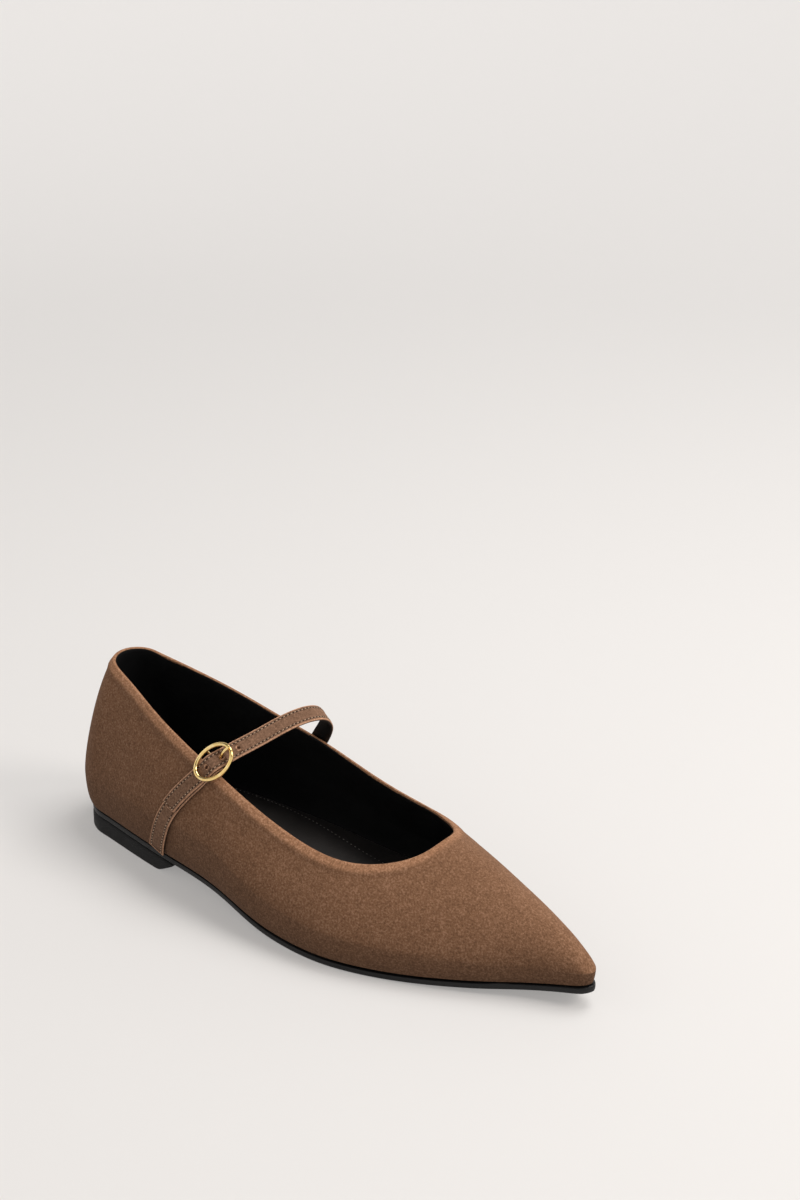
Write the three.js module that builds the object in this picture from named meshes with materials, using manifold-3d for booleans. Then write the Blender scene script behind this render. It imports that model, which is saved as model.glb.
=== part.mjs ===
// Right shoe of a pair: a pointed toe flat with one instep strap and an oval buckle.
// Millimetres. +X runs to the toe, +Y to the inner side of the foot, +Z up.
import * as THREE from 'three';
import Module from 'manifold-3d';

const wasm = await Module();
wasm.setup();

// The last, measured from the back of the heel and from the feather line up
const LAST_LENGTH = 257.5;
const BALL_WIDTH = 80;
const INSTEP_HEIGHT = 60;
const BACK_HEIGHT = 67;
const SIDE_SWELL = 4.5;
const BELLY_HEIGHT = 20;
const THROAT_DEPTH = 44.5;

// How the shoe stands
const HEEL_HEIGHT = 8;
const TOE_SPRING = 6.5;

// Thicknesses and reaches
const CLEARANCE = 0.3;
const UPPER_WALL = 2;
const SOLE_THICKNESS = 3;
const SOLE_EDGE_WIDTH = 1.7;
const SOLE_EDGE_ROUND = 0.9;
const SOLE_EDGE_MIDDLE = 0.3;
const INSOLE_THICKNESS = 2.6;
const INSOLE_INSET = 2.2;
const HEEL_SCOOP = 10;
const HEEL_LIP = 1;
const HEEL_EDGE_ROUND = 0.4;
const HEEL_SCOOP_POWER = 1.15;

// Strap, its base tab and the buckle
const STRAP_WIDTH = 7.9;
const STRAP_THICKNESS = 1.3;
const STRAP_RISE = 17.4;
const STRAP_LEAN = 0.59;
const STRAP_CORNER = 1.2;
const STRAP_EASE = 0.5;
const BAND_CHAMFER = 0.22;
const END_PLACES = [0, 0.3, 0.8, 1.6];
const BAND_STANDOFF = 0.2;
const TAB_WIDTH = 8.6;
const TAB_THICKNESS = 0.9;
const TAB_LIFT = 0.28;
const HOLE_DIAMETER = 1.7;
const HOLE_SPACING = 7.3;
const HOLE_PLACE = 3.7;
const BUCKLE_LENGTH = 18.8;
const BUCKLE_WIDTH = 14.2;
const BUCKLE_WIRE = 1.7;
const BUCKLE_BOW = 0.4;
const BUCKLE_TILT = 0.12;
const BAR_DIAMETER = 1;
const PRONG_DIAMETER = 1.1;

// Sections of the last. at: share of its length; outer, inner: half widths at the feather line, of the
// ball width; swell: how far the side bulges past the feather line, of the side swell; belly: height of
// that bulge, of the belly height; ridge: height of the last's top line, of the instep height
const SECTIONS = [
  { at: 0.094, outer: 0.297, inner: 0.29, swell: 0.65, belly: 0.74, ridge: 1.3 },
  { at: 0.211, outer: 0.364, inner: 0.366, swell: 0.92, belly: 0.92, ridge: 1.27 },
  { at: 0.372, outer: 0.431, inner: 0.404, swell: 0.99, belly: 0.985, ridge: 1.115 },
  { at: 0.524, outer: 0.517, inner: 0.467, swell: 0.58, belly: 0.71, ridge: 0.98 },
  { at: 0.626, outer: 0.516, inner: 0.485, swell: 0.55, belly: 0.595, ridge: 0.85 },
  { at: 0.737, outer: 0.414, inner: 0.408, swell: 0.53, belly: 0.51, ridge: 0.7 },
  { at: 0.838, outer: 0.271, inner: 0.291, swell: 0.38, belly: 0.42, ridge: 0.525 },
  { at: 0.919, outer: 0.133, inner: 0.159, swell: 0.3, belly: 0.34, ridge: 0.355 },
  { at: 0.975, outer: 0.06, inner: 0.065, swell: 0.26, belly: 0.28, ridge: 0.204 },
  { at: 1, ridge: 0.09 },
];
const HEEL_CENTRE = SECTIONS[0].at * LAST_LENGTH;
const TOE_CENTRE = SECTIONS[8].at * LAST_LENGTH;

// Topline height at each share of the length, of the back height
const TOPLINE = [
  { at: 0, height: 1 },
  { at: 0.089, height: 0.97 },
  { at: 0.211, height: 0.835 },
  { at: 0.372, height: 0.675 },
  { at: 0.524, height: 0.585 },
  { at: 0.733, height: 0.455 },
];
const THROAT = TOPLINE[5].at * LAST_LENGTH;

// Underside of the sole: rise at each share of the length, of the heel height and of the toe spring
const SOLE_LINE = [
  { at: 0, heel: 1, toe: 0 },
  { at: 0.211, heel: 0.89, toe: 0 },
  { at: 0.393, heel: 0.7, toe: 0 },
  { at: 0.565, heel: 0, toe: 0 },
  { at: 0.686, heel: 0, toe: 0 },
  { at: 0.838, heel: 0, toe: 0.285 },
  { at: 1, heel: 0, toe: 1 },
];
const HEEL_BREAST = 0.241 * LAST_LENGTH;

// How far the sole stands out past the feather line, of the sole reach
const SOLE_STANDOUT = [
  { at: 0, out: 0.15 },
  { at: 0.372, out: 0.2 },
  { at: 0.626, out: 0.45 },
  { at: 0.838, out: 0.5 },
  { at: 0.94, out: 0.5 },
  { at: 1, out: 0.9 },
];

// Roundness of the sections, as the powers of a superellipse across and up
const SIDE_ROUNDNESS = { across: 1.87, up: 1.35 };
const TOE_ROUNDNESS = { across: 2.1, up: 1.7 };
const TOE_BLEND = { from: 0.82, to: 0.97 };
const TOE_BLUNTNESS = 2.6;
const TOE_TAPER = 0.42;
const THROAT_SQUARENESS = 2.7;

// Where the strap crosses the sides. at: climb from the feather line, 0, to the topline, 1;
// outer, inner: share of the last's length
const STRAP_SLANT = [
  { at: 0, outer: 0.251, inner: 0.314 },
  { at: 0.57, outer: 0.301, inner: 0.354 },
  { at: 0.89, outer: 0.341, inner: 0.387 },
  { at: 1, outer: 0.355, inner: 0.4 },
];
const STRAP_FOOT_CLIMB = 0.06;
const TAIL_END_CLIMB = 0.545;
const TAIL_TOP_CLIMB = 0.82;
const BUCKLE_CLIMB = 0.9;
const BUCKLE_SEAT = 0.565;

// The strap's free arch, from where it leaves the buckle. across: from the outer topline, 0, to the
// inner one, 1; rise: of the strap rise
const STRAP_ARCH = [
  { across: 0.15, rise: 0.38 },
  { across: 0.345, rise: 0.62 },
  { across: 0.5, rise: 0.87 },
  { across: 0.64, rise: 0.99 },
  { across: 0.76, rise: 0.98 },
  { across: 0.86, rise: 0.86 },
  { across: 0.93, rise: 0.66 },
  { across: 0.985, rise: 0.42 },
];

// Mesh counts
const HEEL_SPOKES = 8;
const REAR_SPOKES = 10;
const THROAT_SPOKES = 11;
const VAMP_SPOKES = 10;
const TOE_SPOKES = 9;
const LOWER_ROWS = 4;
const DOME_ROWS = 10;
const RIM_STEPS = 4;
const SCOOP_STEPS = 5;
const SIDE_KNOTS = 9;
const STRAP_STEPS = 72;
const TAB_STEPS = 36;
const WRAP_TURN = 30;
const RING_STEPS = 32;
const PIN_STEPS = 14;
const WIRE_SIDES = 8;
const PATH_DIVISIONS = 800;

const { lerp, clamp, smoothstep } = THREE.MathUtils;
const vector = (x, y, z) => new THREE.Vector3(x, y, z);

// A table's column at any place between its rows, by a smooth curve that is level at each turn
function along(table, column, place) {
  const rows = table.filter((row) => row[column] !== undefined);
  const last = rows.length - 1;
  const here = clamp(place, rows[0].at, rows[last].at);
  const gap = (i) => rows[i + 1].at - rows[i].at;
  const slope = (i) => (rows[i + 1][column] - rows[i][column]) / gap(i);
  const tangent = (i) => {
    if (i === 0) return slope(0);
    if (i === last) return slope(last - 1);
    if (slope(i - 1) * slope(i) <= 0) return 0;
    return (gap(i - 1) * slope(i) + gap(i) * slope(i - 1)) / (gap(i - 1) + gap(i));
  };
  let i = 0;
  while (i < last - 1 && here > rows[i + 1].at) i += 1;
  const t = (here - rows[i].at) / gap(i);
  const rest = 1 - t;
  const level = rest * rest * (1 + 2 * t) * rows[i][column] + t * t * (3 - 2 * t) * rows[i + 1][column];
  return level + t * rest * gap(i) * (rest * tangent(i) - t * tangent(i + 1));
}

// Heights above the floor
function soleUnderside(x) {
  const share = x / LAST_LENGTH;
  return along(SOLE_LINE, 'heel', share) * HEEL_HEIGHT + along(SOLE_LINE, 'toe', share) * TOE_SPRING;
}

function featherHeight(x) {
  return soleUnderside(x) + SOLE_THICKNESS + CLEARANCE;
}

function ridgeHeight(x) {
  return featherHeight(x) + along(SECTIONS, 'ridge', x / LAST_LENGTH) * INSTEP_HEIGHT;
}

function toplineHeight(x) {
  return featherHeight(x) + along(TOPLINE, 'height', x / LAST_LENGTH) * BACK_HEIGHT;
}

// A spoke runs level from the last's middle to its edge: straight out along the sides, and in a fan
// round the heel and the toe
function makeSpokes() {
  const spokes = [];
  const side = (x) => spokes.push({ x, forward: 0, out: 1 });
  for (let i = 0; i < HEEL_SPOKES; i += 1) {
    const angle = (i / HEEL_SPOKES) * (Math.PI / 2);
    spokes.push({ x: HEEL_CENTRE, forward: -Math.cos(angle), out: Math.sin(angle) });
  }
  const bend = THROAT - THROAT_DEPTH;
  for (let i = 0; i < REAR_SPOKES; i += 1) side(lerp(HEEL_CENTRE, bend, i / REAR_SPOKES));
  for (let i = THROAT_SPOKES; i > 0; i -= 1) side(THROAT - THROAT_DEPTH * (i / THROAT_SPOKES) ** 2);
  for (let i = 0; i < VAMP_SPOKES; i += 1) side(lerp(THROAT, TOE_CENTRE, i / VAMP_SPOKES));
  for (let i = 0; i <= TOE_SPOKES; i += 1) {
    const angle = (i / TOE_SPOKES) * (Math.PI / 2);
    spokes.push({ x: TOE_CENTRE, forward: Math.sin(angle), out: Math.cos(angle) });
  }
  return spokes;
}
const SPOKES = makeSpokes();
const THROAT_SPOKE = HEEL_SPOKES + REAR_SPOKES + THROAT_SPOKES;

// One spoke's section on the outer side, -1, or the inner side, 1
function sectionAt(side, spoke) {
  const share = spoke.x / LAST_LENGTH;
  const half = along(SECTIONS, side < 0 ? 'outer' : 'inner', share) * BALL_WIDTH;
  const swell = along(SECTIONS, 'swell', share) * SIDE_SWELL;
  let feather = half;
  if (spoke.forward !== 0) {
    const end = (spoke.forward < 0 ? spoke.x : LAST_LENGTH - spoke.x) - swell;
    const power = spoke.forward < 0 ? 2 : TOE_BLUNTNESS;
    const taper = spoke.forward < 0 ? 0 : TOE_TAPER / half;
    const across = spoke.out / half + spoke.forward * taper;
    const sum = Math.abs(spoke.forward) ** power * (end ** -power - taper ** power) + across ** power;
    feather = sum ** (-1 / power);
  }
  const floor = featherHeight(spoke.x + feather * spoke.forward);
  const toe = smoothstep(share, TOE_BLEND.from, TOE_BLEND.to);
  return {
    feather,
    swell,
    floor,
    belly: floor + along(SECTIONS, 'belly', share) * BELLY_HEIGHT,
    widest: feather + swell,
    across: lerp(SIDE_ROUNDNESS.across, TOE_ROUNDNESS.across, toe),
    up: lerp(SIDE_ROUNDNESS.up, TOE_ROUNDNESS.up, toe),
  };
}

// Share of the widest reach that is left at the topline, 0 from the throat on
function toplineShare(spoke, section) {
  if (spoke.x > THROAT - 1e-6) return 0;
  const x = spoke.x + Math.min(spoke.forward, 0) * section.widest;
  const climb = (toplineHeight(x) - section.belly) / (ridgeHeight(spoke.x) - section.belly);
  const share = (1 - clamp(climb, 0, 1) ** section.up) ** (1 / section.across);
  const into = clamp((spoke.x - THROAT + THROAT_DEPTH) / THROAT_DEPTH, 0, 1);
  return share * (1 - into ** THROAT_SQUARENESS) ** (1 / THROAT_SQUARENESS);
}

function spokePoint(side, spoke, reach, height) {
  return vector(spoke.x + reach * spoke.forward, side * reach * spoke.out, height);
}

// The upper's outside along one spoke, from the feather line over the bulge to the topline or the ridge
function outsideColumn(side, spoke) {
  const section = sectionAt(side, spoke);
  const points = [];
  for (let i = 0; i < LOWER_ROWS; i += 1) {
    const angle = (i / LOWER_ROWS) * (Math.PI / 2);
    const reach = section.feather + section.swell * Math.sin(angle);
    points.push(spokePoint(side, spoke, reach, lerp(section.belly, section.floor, Math.cos(angle))));
  }
  const end = Math.acos(toplineShare(spoke, section) ** (section.across / 2));
  for (let i = 0; i <= DOME_ROWS; i += 1) {
    const angle = (end * i) / DOME_ROWS;
    const share = i === DOME_ROWS && spoke.x > THROAT - 1e-6 ? 0 : Math.cos(angle) ** (2 / section.across);
    const reach = section.widest * share;
    const top = ridgeHeight(spoke.x + Math.max(spoke.forward, 0) * reach);
    const height = lerp(section.belly, top, Math.sin(angle) ** (2 / section.up));
    points.push(spokePoint(side, spoke, reach, height));
  }
  return points;
}

// How far the upper reaches sideways at one place and height
function sideReach(side, x, height) {
  const section = sectionAt(side, { x, forward: 0, out: 1 });
  if (height < section.belly) {
    const drop = clamp((section.belly - height) / (section.belly - section.floor), 0, 1);
    return section.feather + section.swell * Math.sqrt(1 - drop * drop);
  }
  const climb = clamp((height - section.belly) / (ridgeHeight(x) - section.belly), 0, 1);
  return section.widest * (1 - climb ** section.up) ** (1 / section.across);
}

// A closed surface under construction: its points are shared where they meet
class Skin {
  constructor() {
    this.points = [];
    this.faces = [];
    this.ids = new Map();
  }

  id(point) {
    const key = point.toArray().map((value) => Math.round(value * 1e4)).join(' ');
    if (!this.ids.has(key)) {
      this.ids.set(key, this.points.length);
      this.points.push(point);
    }
    return this.ids.get(key);
  }

  triangle(a, b, c) {
    if (a !== b && b !== c && c !== a) this.faces.push([a, b, c]);
  }

  // Two faces, split along the shorter diagonal
  quad(a, b, c, d) {
    const length = (from, to) => this.points[from].distanceTo(this.points[to]);
    if (length(a, c) <= length(b, d)) {
      this.triangle(a, b, c);
      this.triangle(a, c, d);
    } else {
      this.triangle(a, b, d);
      this.triangle(b, c, d);
    }
  }

  // Faces between two closed rings of the same count, the first one below the second
  belt(lower, upper) {
    lower.forEach((id, i) => {
      const next = (i + 1) % lower.length;
      this.quad(id, lower[next], upper[next], upper[i]);
    });
  }

  // A lid over a ring that starts at the heel and mirrors itself, facing up or down
  lid(ring, up) {
    const count = ring.length;
    for (let i = 0; i < Math.floor(count / 2); i += 1) {
      const corners = [ring[i], ring[i + 1], ring[count - i - 1], ring[(count - i) % count]];
      this.quad(...(up ? corners : corners.reverse()));
    }
  }

  normals() {
    const sums = this.points.map(() => vector(0, 0, 0));
    this.faces.forEach((face) => {
      const [a, b, c] = face.map((id) => this.points[id]);
      const normal = b.clone().sub(a).cross(c.clone().sub(a));
      face.forEach((id) => sums[id].add(normal));
    });
    return sums.map((sum) => sum.normalize());
  }

  geometry() {
    const geometry = new THREE.BufferGeometry();
    const position = this.points.flatMap((point) => point.toArray());
    geometry.setAttribute('position', new THREE.Float32BufferAttribute(position, 3));
    geometry.setIndex(this.faces.flat());
    return geometry;
  }
}

// A ring round the shoe, from the back of the heel along the outer side to the toe and back
function loopOf(spokes, place) {
  const outer = spokes.map((spoke) => place(-1, spoke));
  const inner = spokes.slice(1, -1).reverse().map((spoke) => place(1, spoke));
  return [...outer, ...inner];
}

// The shell: one wall with a rounded topline, open at the collar and underneath
function makeUpper() {
  const skin = new Skin();
  const columns = loopOf(SPOKES, (side, spoke) => outsideColumn(side, spoke).map((point) => skin.id(point)));
  const rows = columns[0].map((first, row) => columns.map((column) => column[row]));
  for (let row = 1; row < rows.length; row += 1) skin.belt(rows[row - 1], rows[row]);

  const outside = skin.points.length;
  const outsideFaces = skin.faces.slice();
  const normals = skin.normals();
  for (let i = 0; i < outside; i += 1) {
    skin.points.push(skin.points[i].clone().addScaledVector(normals[i], -UPPER_WALL));
  }
  outsideFaces.forEach(([a, b, c]) => skin.triangle(c + outside, b + outside, a + outside));
  skin.belt(rows[0].map((id) => id + outside), rows[0]);

  const top = rows[rows.length - 1];
  const edge = [...top.slice(0, THROAT_SPOKE + 1), ...top.slice(top.length - THROAT_SPOKE + 1)];
  let below = edge;
  for (let step = 1; step < RIM_STEPS; step += 1) {
    const angle = (Math.PI * step) / RIM_STEPS;
    const ring = edge.map((id, i) => {
      const before = skin.points[edge[(i + edge.length - 1) % edge.length]];
      const after = skin.points[edge[(i + 1) % edge.length]];
      const out = skin.points[id].clone().sub(skin.points[id + outside]).multiplyScalar(0.5);
      const rise = out.clone().cross(after.clone().sub(before)).setLength(out.length());
      const middle = skin.points[id].clone().sub(out);
      return skin.id(middle.addScaledVector(out, Math.cos(angle)).addScaledVector(rise, Math.sin(angle)));
    });
    skin.belt(below, ring);
    below = ring;
  }
  skin.belt(below, edge.map((id) => id + outside));
  return skin.geometry();
}

// A plate with rounded sides. Each row of its side has a reach past the feather line and a height
function makePlate(spokes, sideRows) {
  const skin = new Skin();
  const rings = sideRows.map((row) => loopOf(spokes, (side, spoke) => {
    const section = sectionAt(side, spoke);
    const x = spoke.x + section.feather * spoke.forward;
    const standout = along(SOLE_STANDOUT, 'out', x / LAST_LENGTH) * SOLE_EDGE_WIDTH;
    return skin.id(spokePoint(side, spoke, section.feather + row.reach(standout), row.height(x)));
  }));
  for (let i = 1; i < rings.length; i += 1) skin.belt(rings[i - 1], rings[i]);
  skin.lid(rings[0], false);
  skin.lid(rings[rings.length - 1], true);
  return skin.geometry();
}

function makeOutsole() {
  const topFace = (x) => soleUnderside(x) + SOLE_THICKNESS;
  const middle = SOLE_EDGE_ROUND * SOLE_EDGE_MIDDLE;
  return makePlate(SPOKES, [
    { reach: (out) => out - SOLE_EDGE_ROUND, height: soleUnderside },
    { reach: (out) => out - middle, height: (x) => soleUnderside(x) + middle },
    { reach: (out) => out, height: (x) => soleUnderside(x) + SOLE_EDGE_ROUND },
    { reach: (out) => out, height: (x) => topFace(x) - SOLE_EDGE_ROUND / 2 },
    { reach: (out) => out - SOLE_EDGE_ROUND / 2, height: topFace },
  ]);
}

function makeInsole() {
  const topFace = (x) => featherHeight(x) + CLEARANCE + INSOLE_THICKNESS;
  const softening = INSOLE_THICKNESS / 4;
  return makePlate(SPOKES, [
    { reach: () => -INSOLE_INSET - softening, height: (x) => topFace(x) - INSOLE_THICKNESS },
    { reach: () => -INSOLE_INSET, height: (x) => topFace(x) - INSOLE_THICKNESS + softening },
    { reach: () => -INSOLE_INSET, height: (x) => topFace(x) - softening },
    { reach: () => -INSOLE_INSET - softening, height: topFace },
  ]);
}

// The heel: flat on the floor up to the breast, then scooped up into the arch
function makeHeelBlock() {
  const spokes = SPOKES.slice(0, HEEL_SPOKES);
  for (let i = 0; i < SCOOP_STEPS; i += 1) {
    spokes.push({ x: lerp(HEEL_CENTRE, HEEL_BREAST, i / SCOOP_STEPS), forward: 0, out: 1 });
  }
  for (let i = 0; i <= SCOOP_STEPS; i += 1) {
    spokes.push({ x: HEEL_BREAST + (HEEL_SCOOP * i) / SCOOP_STEPS, forward: 0, out: 1 });
  }
  const top = (x) => soleUnderside(x) - CLEARANCE;
  const bottom = (x) => {
    const past = clamp((x - HEEL_BREAST) / HEEL_SCOOP, 0, 1);
    return (top(x) - HEEL_LIP) * past ** HEEL_SCOOP_POWER;
  };
  const skin = new Skin();
  const ringAt = (inset, height) => {
    const place = (side) => (spoke) => {
      const section = sectionAt(side, spoke);
      const x = spoke.x + section.feather * spoke.forward;
      const standout = along(SOLE_STANDOUT, 'out', x / LAST_LENGTH) * SOLE_EDGE_WIDTH;
      return skin.id(spokePoint(side, spoke, section.feather + standout - inset, height(x)));
    };
    return [...spokes.map(place(-1)), ...spokes.slice(1).reverse().map(place(1))];
  };
  const edge = (x) => bottom(x) + HEEL_EDGE_ROUND;
  const rings = [ringAt(HEEL_EDGE_ROUND, bottom), ringAt(0, edge), ringAt(0, top)];
  skin.belt(rings[0], rings[1]);
  skin.belt(rings[1], rings[2]);
  skin.lid(rings[0], false);
  skin.lid(rings[2], true);
  return skin.geometry();
}

// A place on the side of the upper and the way that it faces there
function onSide(side, climb, offset) {
  const x = along(STRAP_SLANT, side < 0 ? 'outer' : 'inner', climb) * LAST_LENGTH;
  const height = lerp(featherHeight(x), toplineHeight(x), climb);
  const at = (px, pz) => vector(px, side * sideReach(side, px, pz), pz);
  const point = at(x, height);
  const probe = 0.2;
  const forward = at(x + probe, height).sub(point);
  const upward = at(x, height + probe).sub(point);
  const facing = forward.cross(upward).multiplyScalar(-side).normalize();
  return { point: point.addScaledVector(facing, offset), facing };
}

// Where the strap lies: over the tab on the outer side, against the upper on the inner side
const TAB_OFFSET = CLEARANCE + BAND_STANDOFF + TAB_THICKNESS / 2;
const TAIL_OFFSET = TAB_OFFSET + (TAB_THICKNESS + STRAP_THICKNESS) / 2 + CLEARANCE;
const INNER_OFFSET = CLEARANCE + BAND_STANDOFF + STRAP_THICKNESS / 2;
const WRAP_CLEARANCE = 0.2;
const WRAP_RADIUS = (BAR_DIAMETER + TAB_THICKNESS) / 2 + WRAP_CLEARANCE;
const STRAP_OVER_BAR = WRAP_RADIUS + (TAB_THICKNESS + STRAP_THICKNESS) / 2 + CLEARANCE;
const UNDER_RING_HEIGHT = 0.4;
const RING_HEIGHT = 2.7;

const OUTER_COLLAR = onSide(-1, 1, TAIL_OFFSET).point;
const INNER_COLLAR = onSide(1, 1, INNER_OFFSET + STRAP_EASE);
const STRAP_RISING = vector(STRAP_LEAN, 0, 1);
const STRAP_ACROSS = INNER_COLLAR.point.clone().sub(OUTER_COLLAR).cross(STRAP_RISING).normalize();

function archPoint({ across, rise }) {
  const base = OUTER_COLLAR.clone().lerp(INNER_COLLAR.point, across);
  return base.addScaledVector(STRAP_RISING, rise * STRAP_RISE);
}

// The buckle's own frame: along the strap, out from the foot, and across the strap towards the toe.
// The strap passes under both of its ends
function makeBuckleFrame() {
  const lower = onSide(-1, BUCKLE_CLIMB, TAIL_OFFSET + STRAP_EASE).point;
  const upper = archPoint(STRAP_ARCH[0]);
  const run = upper.clone().sub(lower).normalize();
  const out = STRAP_ACROSS.clone().cross(run).normalize();
  const centre = lower.lerp(upper, BUCKLE_SEAT).addScaledVector(out, -UNDER_RING_HEIGHT);
  return { centre, run, out, across: run.clone().cross(out) };
}
const BUCKLE = makeBuckleFrame();

function atBuckle(run, out, across = 0) {
  const point = BUCKLE.centre.clone().addScaledVector(BUCKLE.run, run);
  return point.addScaledVector(BUCKLE.out, out).addScaledVector(BUCKLE.across, across);
}

// A band of leather swept along a path. Each knot has a point and the way that the band faces there
function makeBand(knots, steps, width, thickness, widthAt) {
  const path = new THREE.CatmullRomCurve3(knots.map((knot) => knot.point), false, 'centripetal');
  path.arcLengthDivisions = PATH_DIVISIONS;
  const lengths = path.getLengths();
  const total = lengths[lengths.length - 1];
  const knotPlace = knots.map((knot, i) => (
    lengths[Math.round((i / (knots.length - 1)) * PATH_DIVISIONS)] / total
  ));
  const facingAt = (place) => {
    let i = 0;
    while (i < knots.length - 2 && place > knotPlace[i + 1]) i += 1;
    const t = clamp((place - knotPlace[i]) / (knotPlace[i + 1] - knotPlace[i]), 0, 1);
    return knots[i].facing.clone().lerp(knots[i + 1].facing, t);
  };
  const skin = new Skin();
  const places = END_PLACES.map((place) => place / total);
  const even = places[places.length - 1];
  for (let i = 1; i < steps; i += 1) places.push(lerp(even, 1, i / (steps - 1)));
  const chamfer = thickness * BAND_CHAMFER;
  const rings = places.map((place) => {
    const point = path.getPointAt(place);
    const run = path.getTangentAt(place);
    const facing = facingAt(place);
    const out = facing.addScaledVector(run, -facing.dot(run)).normalize();
    const across = run.clone().cross(out);
    const half = (width / 2) * widthAt(place * total, total);
    const corners = [];
    [[1, 1], [1, -1], [-1, -1], [-1, 1]].forEach(([w, t]) => {
      const inset = w * t > 0 ? [[chamfer, 0], [0, chamfer]] : [[0, chamfer], [chamfer, 0]];
      inset.forEach(([dw, dt]) => {
        const corner = point.clone().addScaledVector(across, w * (half - dw));
        corners.push(skin.id(corner.addScaledVector(out, t * (thickness / 2 - dt))));
      });
    });
    return corners;
  });
  for (let i = 1; i < rings.length; i += 1) skin.belt(rings[i - 1], rings[i]);
  const close = (ring) => {
    for (let i = 1; i < ring.length - 1; i += 1) skin.triangle(ring[0], ring[i], ring[i + 1]);
  };
  close([...rings[0]].reverse());
  close(rings[rings.length - 1]);
  return skin.geometry();
}

function toSolid(geometry) {
  const mesh = new wasm.Mesh({
    numProp: 3,
    vertProperties: new Float32Array(geometry.getAttribute('position').array),
    triVerts: new Uint32Array(geometry.getIndex().array),
  });
  return new wasm.Manifold(mesh);
}

function toGeometry(solid) {
  const mesh = solid.getMesh();
  const geometry = new THREE.BufferGeometry();
  geometry.setAttribute('position', new THREE.Float32BufferAttribute(mesh.vertProperties, 3));
  geometry.setIndex(new THREE.Uint32BufferAttribute(mesh.triVerts, 1));
  return geometry;
}

function cutAway(geometry, cutters) {
  return toGeometry(cutters.reduce((solid, cutter) => solid.subtract(toSolid(cutter)), toSolid(geometry)));
}

// A round wire or pin through a run of points, closed on itself or with flat ends
function makeWire(points, diameter, closed, steps) {
  const path = new THREE.CatmullRomCurve3(points, closed, 'centripetal');
  const frames = path.computeFrenetFrames(steps, closed);
  const skin = new Skin();
  const rings = [];
  for (let i = 0; i < steps + (closed ? 0 : 1); i += 1) {
    const centre = path.getPointAt(i / steps);
    const ring = [];
    for (let k = 0; k < WIRE_SIDES; k += 1) {
      const angle = (2 * Math.PI * k) / WIRE_SIDES;
      const point = centre.clone().addScaledVector(frames.normals[i], (Math.cos(angle) * diameter) / 2);
      ring.push(skin.id(point.addScaledVector(frames.binormals[i], (Math.sin(angle) * diameter) / 2)));
    }
    rings.push(ring);
  }
  for (let i = 1; i < rings.length; i += 1) skin.belt(rings[i - 1], rings[i]);
  if (closed) {
    skin.belt(rings[rings.length - 1], rings[0]);
  } else {
    for (let k = 1; k < WIRE_SIDES - 1; k += 1) {
      skin.triangle(rings[0][0], rings[0][k + 1], rings[0][k]);
      skin.triangle(rings[steps][0], rings[steps][k], rings[steps][k + 1]);
    }
  }
  return skin.geometry();
}

// The buckle's ring: an oval whose two ends bow out over the strap, with a bar across its middle
const RING_HALF_RUN = (BUCKLE_LENGTH - BUCKLE_WIRE) / 2;
const RING_HALF_ACROSS = (BUCKLE_WIDTH - BUCKLE_WIRE) / 2;

function ringPoint(angle) {
  const run = RING_HALF_RUN * Math.cos(angle);
  const level = RING_HEIGHT + BUCKLE_TILT * run + BUCKLE_BOW * Math.cos(angle) ** 2;
  return atBuckle(run, level, RING_HALF_ACROSS * Math.sin(angle));
}

function makeRing(diameter) {
  const oval = [];
  for (let i = 0; i < RING_STEPS; i += 1) oval.push(ringPoint((2 * Math.PI * i) / RING_STEPS));
  return makeWire(oval, diameter, true, RING_STEPS);
}

function makeBar(diameter) {
  const straight = TAB_WIDTH / 2 + CLEARANCE;
  const bar = [-1, -0.5, 0.5, 1].map((share) => atBuckle(0, 0, share * straight));
  bar.unshift(ringPoint(-Math.PI / 2));
  bar.push(ringPoint(Math.PI / 2));
  return makeWire(bar, diameter, false, PIN_STEPS);
}

function makeBuckleRing() {
  return toGeometry(toSolid(makeRing(BUCKLE_WIRE)).add(toSolid(makeBar(BAR_DIAMETER))));
}

// The prong lies on the bar, comes up through the strap and rests over the ring's upper end
const RING_TIP_LEVEL = RING_HEIGHT + BUCKLE_TILT * RING_HALF_RUN + BUCKLE_BOW;
const PRONG_TIP_LEVEL = RING_TIP_LEVEL + (BUCKLE_WIRE + PRONG_DIAMETER) / 2 + CLEARANCE;

// run: from the bar to the prong's hole at 1, and to the ring's upper end at 2; rise: from the height at
// which it lies on the bar, 0, to that of its tip, 1
const PRONG_PATH = [
  { run: -0.25, rise: -0.11 },
  { run: 0, rise: 0 },
  { run: 0.5, rise: 0 },
  { run: 1, rise: 0.35 },
  { run: 1.5, rise: 0.85 },
  { run: 2, rise: 1 },
];

function makeProng(diameter) {
  const seat = (BAR_DIAMETER + PRONG_DIAMETER) / 2 + WRAP_CLEARANCE;
  const points = PRONG_PATH.map(({ run, rise }) => {
    const place = Math.min(run, 1) * HOLE_PLACE + Math.max(run - 1, 0) * (RING_HALF_RUN - HOLE_PLACE);
    return atBuckle(place, lerp(seat, PRONG_TIP_LEVEL, rise));
  });
  points[0].addScaledVector(BUCKLE.run, PRONG_DIAMETER - diameter);
  points.push(atBuckle(RING_HALF_RUN + BUCKLE_WIRE / 2, PRONG_TIP_LEVEL));
  return makeWire(points, diameter, false, PIN_STEPS);
}

// How the strap runs through the buckle. run: from the bar to the ring's upper end, of its half length
const STRAP_LACING = [
  { run: -0.8, level: UNDER_RING_HEIGHT },
  { run: -0.25, level: STRAP_OVER_BAR },
  { run: 0.05, level: STRAP_OVER_BAR },
  { run: 0.75, level: UNDER_RING_HEIGHT },
];

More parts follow.
